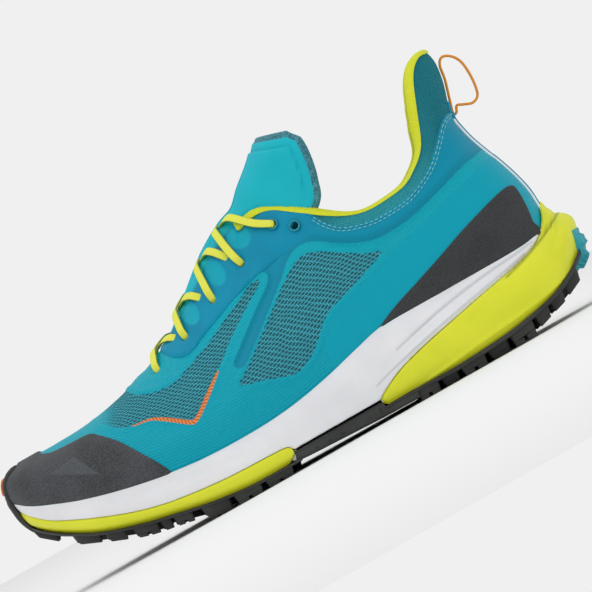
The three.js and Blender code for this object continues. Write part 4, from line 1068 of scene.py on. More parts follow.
def overlay(nodes, outline, finish, thick, cuts=None, melt=None, extra=None):
    """Film cut out by an outline of the side view, one piece for each node.

    Two nodes are an outer and an inner one. cuts gives more fields to stay above zero, the edge is
    flush where melt is 1, and extra is more relief from the side view and the sheet.
    """
    line = drawn(outline, 12 * len(outline), closed=True)
    for side, node_name in zip((OUTER, INNER), nodes):
        fields = [within(skin["co"][:, [0, 2]], line)]
        if len(nodes) > 1:
            fields.append(side * skin["co"][:, 1])
        fields += cuts(skin) if cuts else []
        edge = np.min(fields, axis=0)
        sheet = clip({**skin, "edge": edge}, edge)
        if extra:
            sheet["relief"] = sheet["relief"] + extra(sheet["co"][:, [0, 2]], sheet)
        soft = melt(sheet["co"][:, 0]) if melt else 0.0
        rise = (1 - soft) * np.sqrt(step(sheet["edge"], -0.2, 1.1))
        rise = rise + soft * step(sheet["edge"], 0, 7)
        stand = sheet["relief"] + 0.02 + EDGE_PROUD * (1 - soft) + thick * rise
        patch = [key for key in ("facet", "scallop") if key in sheet]
        make_piece(f"{node_name}_film", slab(sheet, sheet["relief"] - SUNK, stand), finish,
                   [node_name], patch)

# %% Toe cap with its raised facet
TOE_CAP = (
    (24, 78), (24.2, 73), (25.5, 67.5), (31, 64.3), (42, 63.4), (51.6, 62.9), (56, 60), (63, 53),
    (69, 44), (74, 36), (77.4, 28.8), (78.6, 21), (-30, 10), (-30, 78),
)
TOE_FACET = np.array(((27.5, 54.9), (41.2, 56.4), (48.2, 43.8)))


def raised_facet(side_view, sheet):
    """A flat three-cornered plane that stands 0.5 mm proud on the outer side."""
    sheet["facet"] = np.where(sheet["co"][:, 1] < 0, within(side_view, TOE_FACET), -9.0)
    return 0.5 * step(sheet["facet"], -0.5, 0.3)


overlay(["toe_cap"], TOE_CAP, TOE_FILM, 1.0, extra=raised_facet)

# %% Heel counters with their rib
COUNTER_RIB = ((226, 49.6), (240, 52), (255, 53.6), (268, 54.4), (281, 54))
COUNTER = (
    (188, 36), (193, 39), (205, 44.4), (220, 49.4), (235, 54.5), (250, 59.9), (265, 64.5),
    (275, 67), (280, 67.2), (282.2, 65), (282.4, 56), (281.4, 48), (279.4, 38), (240, 30),
    (200, 30),
)


def counter_rib(side_view, sheet):
    return 0.35 * ridge(beside(side_view, drawn(COUNTER_RIB, 40))[0], 0, 0.6)


overlay(["counter_outer", "counter_inner"], COUNTER, DARK_FILM, 0.9,
        extra=counter_rib)

# %% Eyestays, which melt into the ankle band at their back
EYESTAY = (
    (100.5, 96), (100, 81), (101.5, 77.5), (104, 74.6), (108, 72.8), (113, 73), (123, 77.4),
    (135, 82), (147, 86.1), (159, 89.4), (174, 92), (186, 93.4), (192, 96.4), (195.6, 102.2),
    (197, 112), (180, 140), (120, 140),
)
EYESTAY_THICK, EYESTAY_INSET = 0.8, 0.6


def eyestay_cuts(sheet):
    """The film ends short of the collar and the throat, and at the eyelets."""
    return [sheet["below_collar"] - EYESTAY_INSET, sheet["off_throat"] - EYESTAY_INSET,
            sheet["eye"] - EYELET_RADIUS]


overlay(["eyestay_outer", "eyestay_inner"], EYESTAY, EYESTAY_FILM, EYESTAY_THICK,
        cuts=eyestay_cuts, melt=lambda x: step(x, 162, 176))

# %% [markdown]
# ## The sole's foam
# The midsole is moulded as one dished block with a lime layer under the forefoot and a lime wedge
# round the heel. In the mould the layers meet in a narrow groove. One fine surface round the
# sole gives all three, and each layer is cut from it and rounded down into the groove.

# %% Rings of the sole
SOLE_FRONT, SOLE_BACK = 0.0107 * LENGTH, 0.998 * LENGTH
RIM_LEDGE = 1.4
# up in shares of base to rim, inset in mm, lean towards the upper's foot line
FOAM_LEVELS = np.array((
    (0, 3.2, 0), (0.16, 0.9, 0), (0.42, 0, 0), (0.66, 0, 0.16), (0.92, 0, 0.8), (1, 0.5, 1),
))
# the same share up, and how far the heel is hollowed there in mm
HEEL_HOLLOW = np.array((
    (0.25, 0), (0.35, 0.5), (0.46, 2.2), (0.56, 4.4), (0.66, 5.0), (0.8, 3.9), (0.9, 2.0), (1, 0),
))
HEEL_TIP = 1.6
ROUND = 560
DEEP = -60  # well under the floor, where the outlines of the layers are closed
FOREFOOT_TOP = np.array((
    (0.004, 0.355), (0.02, 0.304), (0.05, 0.253), (0.083, 0.219), (0.117, 0.189), (0.167, 0.151),
    (0.217, 0.123), (0.267, 0.107), (0.333, 0.0945), (0.417, 0.089), (0.434, 0.084), (0.4395, 0.068),
    (0.437, 0.05), (0.425, 0.03),
)) * (LENGTH, HEIGHT)
WEDGE_TOP = np.array((
    (0.6, 0.03), (0.597, 0.068), (0.617, 0.096), (0.65, 0.126), (0.7, 0.155), (0.75, 0.178),
    (0.8, 0.201), (0.85, 0.222), (0.883, 0.236), (0.917, 0.257), (0.935, 0.277), (0.943, 0.3),
    (0.947, 0.42),
)) * (LENGTH, HEIGHT)
BRIDGE_FROM, BRIDGE_TO, BRIDGE_TOP = 0.4435 * LENGTH, 0.5965 * LENGTH, 0.067 * HEIGHT


def round_the_shoe(count=ROUND):
    """Shares of the length and sides, once round from the toe by the outer side."""
    turn = 2 * math.pi * np.arange(count) / count
    return (1 - np.cos(turn)) / 2, np.where(turn <= math.pi, -1.0, 1.0)


def widened(points, distance):
    """A ring moved sideways, outward where distance is positive."""
    ahead, behind = np.roll(points, -1, axis=0), np.roll(points, 1, axis=0)
    away = unit(np.stack((ahead[:, 1] - behind[:, 1], behind[:, 0] - ahead[:, 0]), axis=1))
    moved = points.copy()
    moved[:, :2] += away * np.reshape(distance, (-1, 1))
    return moved


def sole_ring():
    """The plan of the sole as a ring of points."""
    share, side = round_the_shoe()
    x = SOLE_FRONT + share * (SOLE_BACK - SOLE_FRONT)
    return np.stack((x, sole_middle(share) + side * sole_half(share), np.zeros_like(x)), axis=1)


def foot_ring():
    share, side = round_the_shoe()
    return on_last(share, 0.0, side)


def foam_ring(up):
    """The foam's outline at a share of its height."""
    inset = through(FOAM_LEVELS[:, 0], FOAM_LEVELS[:, 1], np.array(up))
    lean = through(FOAM_LEVELS[:, 0], FOAM_LEVELS[:, 2], np.array(up))
    points = sole_ring() * (1 - lean) + widened(foot_ring(), RIM_LEDGE) * lean
    hollow = np.interp(up, *HEEL_HOLLOW.T) * step(points[:, 0], 274, 297)
    points = widened(points, -inset - hollow)
    low = height_at(points[:, 0], "base")
    high = height_at(points[:, 0], "rim") + HEEL_TIP * step(points[:, 0], 280, 288)
    points[:, 2] = low + up * (high - low)
    return points


print("foam at mid-height, widest in mm:", round(np.ptp(foam_ring(0.5)[:, 1]), 1))

# %% Layers of the foam


def middle_of(ring, middle_at):
    """The ring's points moved onto its middle line."""
    middle = ring.copy()
    middle[:, 1] = middle_at(round_the_shoe()[0])
    return middle


def foam_sheet():
    """Under the sole from its middle line out, up the side and in over the rim."""
    unders, ups, insets = np.linspace(0, 1, 10)[:-1], np.linspace(0, 1, 56), (1.5, 3.0, 6.0)
    base, foot = foam_ring(0.0), foot_ring()
    middle = middle_of(base, sole_middle)
    rings = [middle * (1 - size) + base * size for size in unders]
    rings += [foam_ring(up) for up in ups]
    rim = rings[-1]
    for inset in insets:
        ring = widened(foot, -inset)
        ring[:, 2] = np.minimum(height_at(ring[:, 0], "foot"), rim[:, 2]) - 0.5
        rings.append(ring)
    levels = np.concatenate((0 * unders, ups, np.full(len(insets), 1.1)))
    sheet = ring_sheet(rings, level=np.tile(levels, len(base)))
    return facing(sheet, (sheet["co"] - 20) * (0, 0, 1))


foam = foam_sheet()
foam_side = foam["co"][:, [0, 2]]
line = drawn(FOREFOOT_TOP, 80)
front_area = np.vstack((line, ((line[-1, 0], DEEP), (DEEP, DEEP), (DEEP, line[0, 1]))))
line = drawn(WEDGE_TOP, 90)
back_area = np.vstack((line, ((line[-1, 0], FAR_OFF / 2), (FAR_OFF, FAR_OFF / 2), (FAR_OFF, DEEP),
                              (line[0, 0], DEEP))))
bridge_area = np.array(((BRIDGE_FROM, DEEP), (BRIDGE_TO, DEEP), (BRIDGE_TO, BRIDGE_TOP),
                        (BRIDGE_FROM, BRIDGE_TOP)))
for name, area in (("front", front_area), ("back", back_area), ("bridge", bridge_area)):
    foam[name] = within(foam_side, area)
print("points on the foam:", len(foam["co"]))

# %% [markdown]
# The white side is not plain: a shallow channel runs along it, a crease rises towards the heel
# where the mould parts, and the lime rim behind the heel has a groove of its own.

# %% Relief of the foam and its layers
CREASE_LINE = (
    (196, 26.8), (208, 29.6), (221, 32.6), (236, 35.2), (252, 37.2), (268, 38.6), (276, 39.4),
)
RIM_GROOVE = ((249, 29.5), (259, 31.4), (269.6, 34.2), (281, 38.4), (290, 42.6), (298, 47.5))
LEDGE = (
    (192, 6.6), (213, 8.7), (233.2, 11), (253, 13), (272.2, 16), (284, 19.6), (291.5, 24), (300, 34),
)
SHELF = (
    (180, 16.6), (187, 18.8), (202, 22.6), (218.5, 26.3), (245, 31.5), (260, 34.2), (270, 36.4),
)
FRONT_CHANNEL = (
    (8, 47.2), (20, 40.4), (35, 34.6), (55, 28.6), (75, 24.2), (95, 21), (115, 19.6), (135, 20),
)
WAIST_DEPTH = 1.2
NO_SHADE_LINE = 9.0  # a distance at which the shade painted along a line has ended


def foam_relief(sheet):
    """Height of the foam's surface at each point; its lines are also kept for the material, which
    paints shade along them.
    """
    x, side = sheet["co"][:, 0], sheet["co"][:, [0, 2]]
    crease, along = beside(side, drawn(CREASE_LINE, 40))
    shown = step(along, 0, 14) * step(-along, -84, -66)
    relief = (0.5 * ridge(crease, 2.6, 3.2) - 0.7 * ridge(crease, 0, 0.9)) * shown

    groove, along = beside(side, drawn(RIM_GROOVE, 40))
    lip = (0.8 - 0.6 * step(x, 285, 292)) * ridge(groove, 0.9, 1.3)
    shown = step(along, 0, 14) * step(x, 246, 262)
    relief += (step(-groove, -0.4, 0.4) - 0.6 * step(-groove, 3, 12) - lip) * shown

    ledge, along = beside(side, drawn(LEDGE, 60))
    relief += (0.7 * ridge(ledge, -0.2, 1.3) + 0.35 * step(-ledge, 0, 1.5)) * step(along, 0, 16)

    shelf, along = beside(side, drawn(SHELF, 60))
    shown = step(along, 0, 26) * (sheet["back"] < 0) * step(x, 274, 262)
    relief += (0.4 * ridge(shelf, 0.6, 1.6) - step(-shelf, -0.4, 3.6)) * shown

    channel, along = beside(side, drawn(FRONT_CHANNEL, 60))
    relief -= 0.45 * ridge(channel, 0, 4.0) * step(along, 0, 20) * step(-along, -132, -96)

    # distances to the lines along which the material paints shade: the rim groove on the lime heel,
    # the crease and shelf on the white foam
    rim_shade_line = np.abs(groove) + NO_SHADE_LINE * step(x, 258, 250)
    white_shade_line = np.minimum(np.abs(crease), np.abs(shelf))
    sheet["groove"] = np.where(sheet["back"] > 0, rim_shade_line, white_shade_line)
    waist = ridge(x, 158, 44) * ridge(sheet["level"], 0.5, 0.42)
    return (relief - WAIST_DEPTH * waist) * (sheet["level"] < 1)


foam["relief"] = foam_relief(foam)

# %% Cut the three layers
FOAM_GAP, FOAM_THICK = 0.12, 4.0


def foam_layer(name, field, finish, node_name, round_to, deep):
    """One layer cut from the foam, its edge rounded by deep mm into the groove."""
    edge = field - FOAM_GAP
    sheet = clip({**foam, "edge": edge}, edge)
    fall = np.clip(1 - sheet["edge"] / round_to, 0, 1)
    stand = sheet["relief"] - deep * (1 - np.sqrt(1 - fall ** 2))
    inner = FOAM_THICK * (1 - 0.9 * step(sheet["level"], 0.8, 1))  # thin at the rim
    # groove carries the distances for the shade painted along the foam's lines
    make_piece(name, slab(sheet, -inner, stand), finish, [node_name], ["groove"])


front, back, bridge = foam["front"], foam["back"], foam["bridge"]
white = np.min((-front, -back, -bridge), axis=0)
foam_layer("midsole_foam", white, WHITE_FOAM, "midsole", 1.1, 0.9)
foam_layer("forefoot_foam", front, LIME_FOAM, "midsole_forefoot", 1.5, 1.0)
foam_layer("heel_foam", np.minimum(back, -bridge), LIME_FOAM, "midsole_heel", 1.6, 1.1)

# %% [markdown]
# ## The collar lining
# The padded lining is a soft knit sleeve filled with foam. It is sewn to the edge of the shell,
# rolls over it and runs down inside the ankle. Its section is a bulge: thin where it is sewn,
# fat below the edge, and pulled thin again where it ends.

# %% Section of the lining
ROLL, PADDING, LINING_DEPTH = 3.0, 4.5, 38.0
LINING_GAP, LINING_CLOTH, SEWN_DEPTH = 0.5, 0.8, 2.5
ROLL_END = 0.2  # how far past the roll its section closes
WRINKLES = ((118, 5, 0.35), (128, 4, 0.3), (109, 4, 0.3))  # up, half width, height


def lining_part(sheet):
    """Outer and inner face of the lining over a part of the skin."""
    over = np.clip(sheet["above"] / (sheet["roll"] + ROLL_END), 0, 1)
    curl = 1 - np.sqrt(1 - over ** 2)
    inner = -WALL - LINING_GAP - LINING_CLOTH - (PADDING - LINING_CLOTH) * sheet["padded"]
    middle = inner * 0.45
    outer = np.where(sheet["above"] > -1e-6, 0.25, -WALL - 0.3)
    outer = outer + (middle - outer) * curl
    bulge = 0.5 * ridge(sheet["above"], -9, 14) * sheet["padded"]
    inside = inner - bulge + (middle - inner) * curl
    end = np.clip(sheet["deep"] / 6, 0, 1)
    inside = (inside + WALL + 0.7) * np.sqrt(end) - WALL - 0.7
    x, z = sheet["co"][:, 0], sheet["co"][:, 2]
    wrinkle = sum(height * ridge(z, up, half) for up, half, height in WRINKLES)
    inside = np.minimum(inside + wrinkle * (x > 240), outer - 0.05)
    return slab(sheet, inside, outer)

# %% Lining that rolls over the collar

def collar_lining():
    """The roll above the shell's edge and the padding below it, in one piece."""
    sheet = dict(skin)
    x, z = sheet["co"][:, 0], sheet["co"][:, 2]
    sheet["above"] = -sheet["below_collar"]
    sheet["padded"] = step(x, 186, 204)
    sheet["deep"] = SEWN_DEPTH + (LINING_DEPTH - SEWN_DEPTH) * sheet["padded"] + sheet["above"]
    by_tongue, at_ankle = 1.2, 0.55 + 0.45 * step(z, 98, 118)  # shares of the roll's full size
    sheet["roll"] = ROLL * (by_tongue + (at_ankle - by_tongue) * step(x, 192, 216))
    short_of_ridge = np.where(x > 200, (1 - sheet["level"]) * 60 - 0.02, 20)
    keep = np.min((sheet["roll"] + ROLL_END - sheet["above"], sheet["deep"],
                   sheet["off_throat"] - 0.2, short_of_ridge), axis=0)
    sheet = clip(sheet, keep)
    solid = stacked(lining_part(clip(sheet, sheet["above"])),
                    lining_part(clip(sheet, -sheet["above"] - 2e-6)))
    return make_piece("collar_lining_knit", solid, LIME_KNIT, ["collar_lining"],
                      smooth=60)


collar = collar_lining()

# %% [markdown]
# ## The tongue
# The tongue is a padded plate of backed cloth, curled over the instep, with an open spacer-mesh
# border and a raised pad in its upper part. It is lofted through sections across the foot.

# %% Sections of the tongue and the room for it
# middle along and up in shares of length and height, wing along and up, half width, thickness
TONGUE = np.array((
    (0.3, 0.492, 0.305, 0.455, 0.11, 3), (0.343, 0.543, 0.355, 0.48, 0.17, 4),
    (0.383, 0.607, 0.402, 0.507, 0.19, 4.6), (0.427, 0.684, 0.452, 0.55, 0.2, 5),
    (0.467, 0.75, 0.51, 0.585, 0.21, 5), (0.51, 0.802, 0.575, 0.63, 0.222, 5),
    (0.543, 0.829, 0.658, 0.703, 0.23, 5), (0.573, 0.878, 0.68, 0.785, 0.245, 5.2),
    (0.603, 0.932, 0.689, 0.885, 0.262, 4.8), (0.629, 0.997, 0.686, 0.958, 0.258, 3.2),
))
CURL, FAR_CORNER = 1.25, 27.0
TONGUE_GAP, TUCK, TUCK_SOFT = 0.6, 3.2, 1.5
LEVEL_STEPS = np.linspace(0, 1, 200)
LEVEL_RISES = through(RISE_STEPS, RISES, LEVEL_STEPS)


def skin_beside(x, z, side):
    """The y of the upper's outer surface at a place of the side view."""
    low, high = height_at(x, "foot"), height_at(x, "ridge")
    level = np.interp((z - low) / (high - low), LEVEL_RISES, LEVEL_STEPS)
    front, back = ends_at(level)
    return on_last((x - front) / (back - front), level, side)[..., 1]


def tucked(points, half_thick):
    """Each point's y, drawn in where it would stand in the shell's wall."""
    x, y, z = points[..., 0].ravel(), points[..., 1].ravel(), points[..., 2].ravel()
    side = np.where(y < 0, -1.0, 1.0)
    skin_y = skin_beside(x, z, side)
    centre = upper_middle(x / LENGTH)
    probe = {"co": np.stack((x, skin_y, z), axis=1)}
    free = step(-add_fields(probe)["below_collar"], 0.5, 14)
    room = np.abs(skin_y - centre) - 1.35 * WALL - half_thick.ravel() - TONGUE_GAP + 40 * free
    room -= TUCK * step(np.hypot(x - EYELETS[-1][0], z - EYELETS[-1][1]), 13, 5)
    reach = np.abs(y - centre)
    over = np.clip(reach - room + TUCK_SOFT, 0, None)
    reach = np.where(over > 0, room - TUCK_SOFT * np.exp(-over / TUCK_SOFT), reach)
    return (centre + side * reach).reshape(points.shape[:-1])

# %% Loft of the tongue
ROWS, ACROSS = 150, 120


def tongue_loft():
    """Middle sheet of the tongue; near the top its far half leans forward, as in the photo."""
    along, up, wing_along, wing_up, half, thick = drawn(TONGUE, ROWS).T[..., None]
    part = np.linspace(-1, 1, ACROSS)[None, :]
    turn = part * CURL
    wing = (1 - np.cos(turn)) / (1 - math.cos(CURL))
    far_top = step(up, 0.93, 1.0) * (part > 0)
    lean = 1 - 2.0 * far_top
    points = np.stack((
        (along + (wing_along - along) * wing * lean) * LENGTH,
        half * BALL_WIDTH * np.sin(turn) / math.sin(CURL),
        (up + (wing_up - up) * wing) * HEIGHT - 5 * wing * far_top,
    ), axis=-1)
    thick = np.repeat(thick, ACROSS, axis=1)
    points[..., 1] = tucked(points, thick / 2)
    ways = np.stack([way_along(row) for row in points])
    from_edge = np.minimum(ways, ways[:, -1:] - ways)
    from_top = np.stack([way_along(column[::-1])[::-1] for column in points.swapaxes(0, 1)], axis=1)
    near_edge = np.min((from_edge, from_top, (from_edge + from_top - 4.5) / math.sqrt(2)), axis=0)
    short = np.clip(FAR_CORNER - from_edge, 0, None), np.clip(FAR_CORNER - from_top, 0, None)
    edge = np.where(part > 0, FAR_CORNER - np.hypot(*short), near_edge)
    sheet = {"co": points.reshape(-1, 3), "faces": grid_faces(ROWS, ACROSS), "edge": edge.ravel(),
             "thick": thick.ravel(), "down": from_top.ravel()}
    return facing(sheet, (0, 0, 1))

# %% Padding, border and panel of the tongue
BORDER_WIDE, PANEL_IN, PANEL_PROUD, EDGE_ROUND = 3.0, 7.0, 0.9, 1.6


def tongue():
    """The sheet made a soft plate: thin mesh border, padded middle, raised panel near the top."""
    sheet = tongue_loft()
    sheet = clip(sheet, sheet["edge"])
    edge, down = sheet["edge"], sheet["down"]
    round_edge = np.sqrt(1 - (1 - np.clip(edge / EDGE_ROUND, 0, 1)) ** 2)
    inside = step(edge, BORDER_WIDE - 0.6, BORDER_WIDE + 0.4)
    half_thick = sheet["thick"] / 2 * round_edge * (0.55 + 0.45 * inside)
    panel = step(edge, PANEL_IN, PANEL_IN + 1.4) * (1 - step(down, 26, 38))
    seams = (0.35 * ridge(edge, BORDER_WIDE + 0.2, 0.7)
             + 0.5 * ridge(edge, PANEL_IN + 0.2, 1.1) * (down < 34))
    top = half_thick + PANEL_PROUD * panel - seams * round_edge
    sheet["border"] = BORDER_WIDE - edge
    return make_piece("tongue_cloth", slab(sheet, -half_thick, top), TONGUE_CLOTH,
                      ["tongue"], ["border"])


flap = tongue()

# %% [markdown]
# ## The lace
# One flat woven lace, about 4 mm wide, runs through all but the hindmost eyelet on each side: up
# through a hole, over the tongue, down under the far edge and up through the next hole. Each pass is
# a ribbon with rounded sides, swept along its own way over the instep. Its two ends are tucked in at
# the top.

# %% Where the lace lies
LACE_WIDE, LACE_THICK = 4.0, 1.2
LACE_LIFT = EYESTAY_THICK + 0.95 + LACE_THICK / 2
FIRST_PASS_LOWER = 0.8  # the pass near the toe lies on bare film, without the eyestay's edge
CROSSING_BEND = (3.4, 4.6, 5, 11)  # how far each pass sags towards the toe, in mm


def over_instep(x, y):
    """Place and direction of the upper's surface over its ridge, at along x and across y."""
    level = np.linspace(1, 0.45, 160)

    def height(a, b):
        side = OUTER if b < upper_middle(np.array(a / LENGTH)) else INNER
        front, back = ends_at(level)
        points = on_last((a - front) / (back - front), level, side)
        reach = side * points[:, 1]
        return np.interp(side * b, reach, points[:, 2])

    slope_x = (height(x + 2, y) - height(x - 2, y)) / 4
    slope_y = (height(x, y + 2) - height(x, y - 2)) / 4
    away = np.array((-slope_x, -slope_y, 1.0))
    return np.array((x, y, height(x, y))), away / np.linalg.norm(away)


print("ridge of the instep at 120 mm:", np.round(over_instep(120.0, 0.0)[0], 1))

# %% Way of one pass of the lace
def lace_way(k, side):
    """Points of one pass and the direction its flat face looks, from its eyelet to its far end."""
    count = len(EYELETS)
    near, far = (0, count) if side == OUTER else (count, 0)
    (start, start_up), (end, end_up) = EYES[near + k], EYES[far + k + 1]
    points = [start - 3.2 * start_up, start - 1.0 * start_up]
    ups = [start_up, start_up]
    over_other = LACE_THICK * 1.05 if side == OUTER else 0.0
    last = k == len(CROSSING_BEND) - 1
    stop, hug = (0.93, 0.5) if last else (0.8, 0.4)  # the last one shows up to its hole
    lift = LACE_LIFT - (FIRST_PASS_LOWER if k == 0 else 0.0)
    for t in np.linspace(0.06, stop, 16):
        x = start[0] + (end[0] - start[0]) * t - CROSSING_BEND[k] * math.sin(math.pi * t)
        y = start[1] + (end[1] - start[1]) * (t - hug * math.sin(2 * math.pi * t) / (2 * math.pi))
        spot, up = over_instep(x, y)
        rise = lift * min(1.0, 0.45 + 6 * t) + over_other * math.sin(math.pi * t) ** 2
        points.append(spot + rise * up)
        ups.append(up)
    if last:
        points += [end + 1.5 * end_up, end - 1.6 * end_up]
    else:
        under = end + 0.45 * (points[-1] - end)
        points += [under - 1.2 * end_up, under + 0.35 * (end - under) - 3.4 * end_up]
    ups += [end_up, end_up]
    return np.array(points), np.array(ups)

# %% Sweep the lace
PINCH, PINCH_REACH = 0.3, 2.5  # the holes squeeze the lace's width


def rounded(turn, across_power, up_power):
    """A circle pressed towards a box: the smaller the powers, the sharper its corners."""
    sides = (np.cos(turn), across_power), (np.sin(turn), up_power)
    return [np.sign(side) * np.abs(side) ** power for side, power in sides]


def ribbon(points, ups, steps=70, around=14):
    """A flat ribbon swept along points, closed at both ends."""
    centre, up = drawn(points, steps), drawn(ups, steps)
    ahead = unit(np.gradient(centre, axis=0))
    across = unit(np.cross(up, ahead))
    up = np.cross(ahead, across)
    flat, tall = rounded(2 * math.pi * np.arange(around) / around, 0.7, 0.55)
    flat, tall = flat * LACE_WIDE / 2, tall * LACE_THICK / 2
    way = way_along(centre)
    pinch = 1 - PINCH * (np.exp(-way / PINCH_REACH) + np.exp((way - way[-1]) / PINCH_REACH))
    rings = (centre[:, None] + across[:, None] * flat[None, :, None] * pinch[:, None, None]
             + up[:, None] * tall[None, :, None])
    return turned_out({
        "co": rings.reshape(-1, 3),
        "faces": capped(grid_faces(steps, around, closed=True), steps, around),
        "lace_along": np.repeat(way, around),
        "lace_across": np.tile(flat, steps),
    })


for k in range(len(CROSSING_BEND)):
    passes = [ribbon(*lace_way(k, side)) for side in (OUTER, INNER)]
    make_piece(f"lace_pass_{k + 1}", stacked(*passes), LACE,
               [f"lace_crossing_{k + 1}"], ("lace_along", "lace_across"), smooth=50)

# %% [markdown]
# ## Eyelet rings
# The two top holes are bound with a small moulded ring, because the last pull of the lace comes
# there. A ring is a circle swept along a circle that lies on the skin.

# %% Rings round the two top holes
LOOK_UP = (0.13, 0.21, 0.97)  # nearly upright, so that no cord here runs exactly along it
RING_THICK, RING_OUT = 0.5, 0.35


def tube(points, radius, around=10, closed=True):
    """A round cord along points; radius may be a number or one per point."""
    if closed:
        ahead = np.roll(points, -1, axis=0) - np.roll(points, 1, axis=0)
    else:
        ahead = np.gradient(points, axis=0)
    ahead = unit(ahead)
    side = unit(np.cross(ahead, LOOK_UP))
    up = np.cross(side, ahead)
    turn = 2 * math.pi * np.arange(around) / around
    radius = np.broadcast_to(radius, (len(points),))[:, None, None]
    rings = points[:, None] + radius * (side[:, None] * np.cos(turn)[None, :, None]
                                        + up[:, None] * np.sin(turn)[None, :, None])
    count = len(points)
    faces = grid_faces(count + (1 if closed else 0), around, closed=True) % (count * around)
    if not closed:
        faces = capped(faces, count, around)
    return turned_out({
        "co": rings.reshape(-1, 3), "faces": faces,
        "lace_along": np.repeat(way_along(points), around), "lace_across": np.tile(turn, count),
    })


def ring_on_skin(spot, away):
    """A ring that lies on the eyestay round one eyelet."""
    one = unit(np.cross(away, (0.0, 0.0, 1.0)))
    two = np.cross(away, one)
    turn = np.linspace(0, 2 * math.pi, 36, endpoint=False)[:, None]
    circle = (EYELET_RADIUS + RING_OUT) * (one * np.cos(turn) + two * np.sin(turn))
    return tube(spot + away * (EYESTAY_THICK + 0.1) + circle, RING_THICK)


top_two = (len(EYELETS) - 2, len(EYELETS) - 1)
rings = [ring_on_skin(*eye) for k, eye in enumerate(EYES) if k % len(EYELETS) in top_two]
make_piece("eyelet_rings", stacked(*rings), TEAL_RING, smooth=0)

# %% [markdown]
# ## The outsole
# The outsole is one pressing of rubber: a thin sheet that follows the foam, lugs standing on it, a
# bridge under the arch and a tongue that climbs the toe as a bumper. Each lug is a tapered block
# with a broad foot and a slotted tip, which lets it bend over stones.

# %% Sheet of the outsole
SHEET, SHEET_HEEL, SHEET_INSET = 1.6, 0.9, 1.0
INSERT_HALF, INSERT_LOW, INSERT_HIGH, INSERT_GAP = 17.0, 13.8, 34.6, 0.3
INSERT_SHEET_END = 0.962 * LENGTH  # the sheet ends here under the heel insert


def sheet_thick(x):
    """The pressing is thicker under the heel."""
    return SHEET + SHEET_HEEL * step(x, 175, 225)


def outsole_sheet():
    """The pressing under the foam, open at the arch and under the heel insert."""
    edge = widened(sole_ring(), -SHEET_INSET)
    middle = middle_of(edge, sole_middle)
    rings = []
    for size in np.linspace(0, 1, 14):
        ring = middle * (1 - size) + edge * size
        ring[:, 2] = height_at(ring[:, 0], "base") - sheet_thick(ring[:, 0])
        ring[:, 2] += 0.4 * step(size, 0.93, 1.0)
        rings.append(ring)
    for out, part in ((0.35, 0.6), (0.4, 0.35), (0.3, 0.15)):  # a rounded rim
        ring = widened(edge, out)
        ring[:, 2] = height_at(ring[:, 0], "base") - part * sheet_thick(ring[:, 0])
        rings.append(ring)
    sheet = facing(ring_sheet(rings), (0, 0, -1))
    x, y = sheet["co"][:, 0], sheet["co"][:, 1]
    off_bridge = np.maximum(BRIDGE_FROM - x, x - BRIDGE_TO)
    off_insert = np.maximum(INSERT_SHEET_END - x, np.abs(y) - INSERT_HALF - INSERT_GAP)
    sheet = clip(sheet, np.minimum(off_bridge, off_insert))
    under = sheet["co"].copy()
    under[:, 2] = height_at(under[:, 0], "base") - 0.15
    return thickened(sheet, under)

# %% One lug
# share of the way down, and how much smaller the lug is there as a share of its taper, and a trim
LUG_STEPS = ((0, 0, 0), (0.5, 0.5, 0), (0.9, 1, 0), (0.97, 1, 0.015), (1, 1, 0.06))


def block(x0, x1, y0, y1, top, low, taper=0.86, sweep=0.0, corner=1.3):
    """A lug with rounded corners from height top down to low, which are functions of x."""
    cx, cy, hx, hy = (x0 + x1) / 2, (y0 + y1) / 2, (x1 - x0) / 2, (y1 - y0) / 2
    corner = min(corner, 0.45 * hx, 0.45 * hy)
    turns = math.pi / 2 * (np.arange(4)[:, None] + np.arange(4) / 3)
    corners = np.array(((1, 1), (-1, 1), (-1, -1), (1, -1))) * (hx - corner, hy - corner)
    outline = corners[:, None] + corner * np.stack((np.cos(turns), np.sin(turns)), axis=-1)
    outline = outline.reshape(-1, 2)
    rings = []
    for down, tapered, trim in LUG_STEPS:
        x, y = ((cx, cy) + outline * (1 - (1 - taper) * tapered - trim)).T
        x = x + sweep * np.abs(y - cy)
        rings.append(np.stack((x, y, top(x) * (1 - down) + low(x) * down), axis=1))
    count = len(outline)
    faces = capped(grid_faces(len(rings), count, closed=True), len(rings), count)
    return turned_out({"co": np.concatenate(rings), "faces": faces})


def tread(x):
    """Height of the lugs' tips."""
    return np.maximum(height_at(x, "tread"), 0.0)


def root(x):
    """Height inside the sheet from which the lugs start."""
    return height_at(x, "base") - 0.9


def halfway(x):
    """Height at which a lug's slotted tip begins."""
    return 0.32 * root(x) + 0.68 * tread(x)

# %% All the lugs
# edge lugs as read along the outer side: from, to, slots in the tip, how far set in from the edge
EDGE_LUGS = (
    (5.4, 15, 0, 0), (22, 33.5, 0, 0), (35.8, 45, 0, 0), (48.6, 60, 1, 0), (61.3, 66.5, 0, 3),
    (67.8, 76.6, 1, 0), (81, 95, 0, 0), (97, 111, 1, 0), (113, 127.5, 1, 0), (194.5, 206, 1, 0),
    (207.4, 216.4, 0, 4), (218, 231, 1, 0), (232.4, 243.6, 0, 4), (245, 258, 1, 0),
    (259.6, 267.6, 0, 0), (269, 277, 0, 0), (278.6, 288.4, 0, 0),
)
LUG_INSET, LUG_WIDE, LUG_SLOT, TIP_INSET = 1.7, 12.0, 1.3, 0.6
MIDDLE_LUG_HALF, WIDE_ROOM = 4.6, 30
INSERT_FROM = 280.0  # past here the heel insert takes the middle of the sole


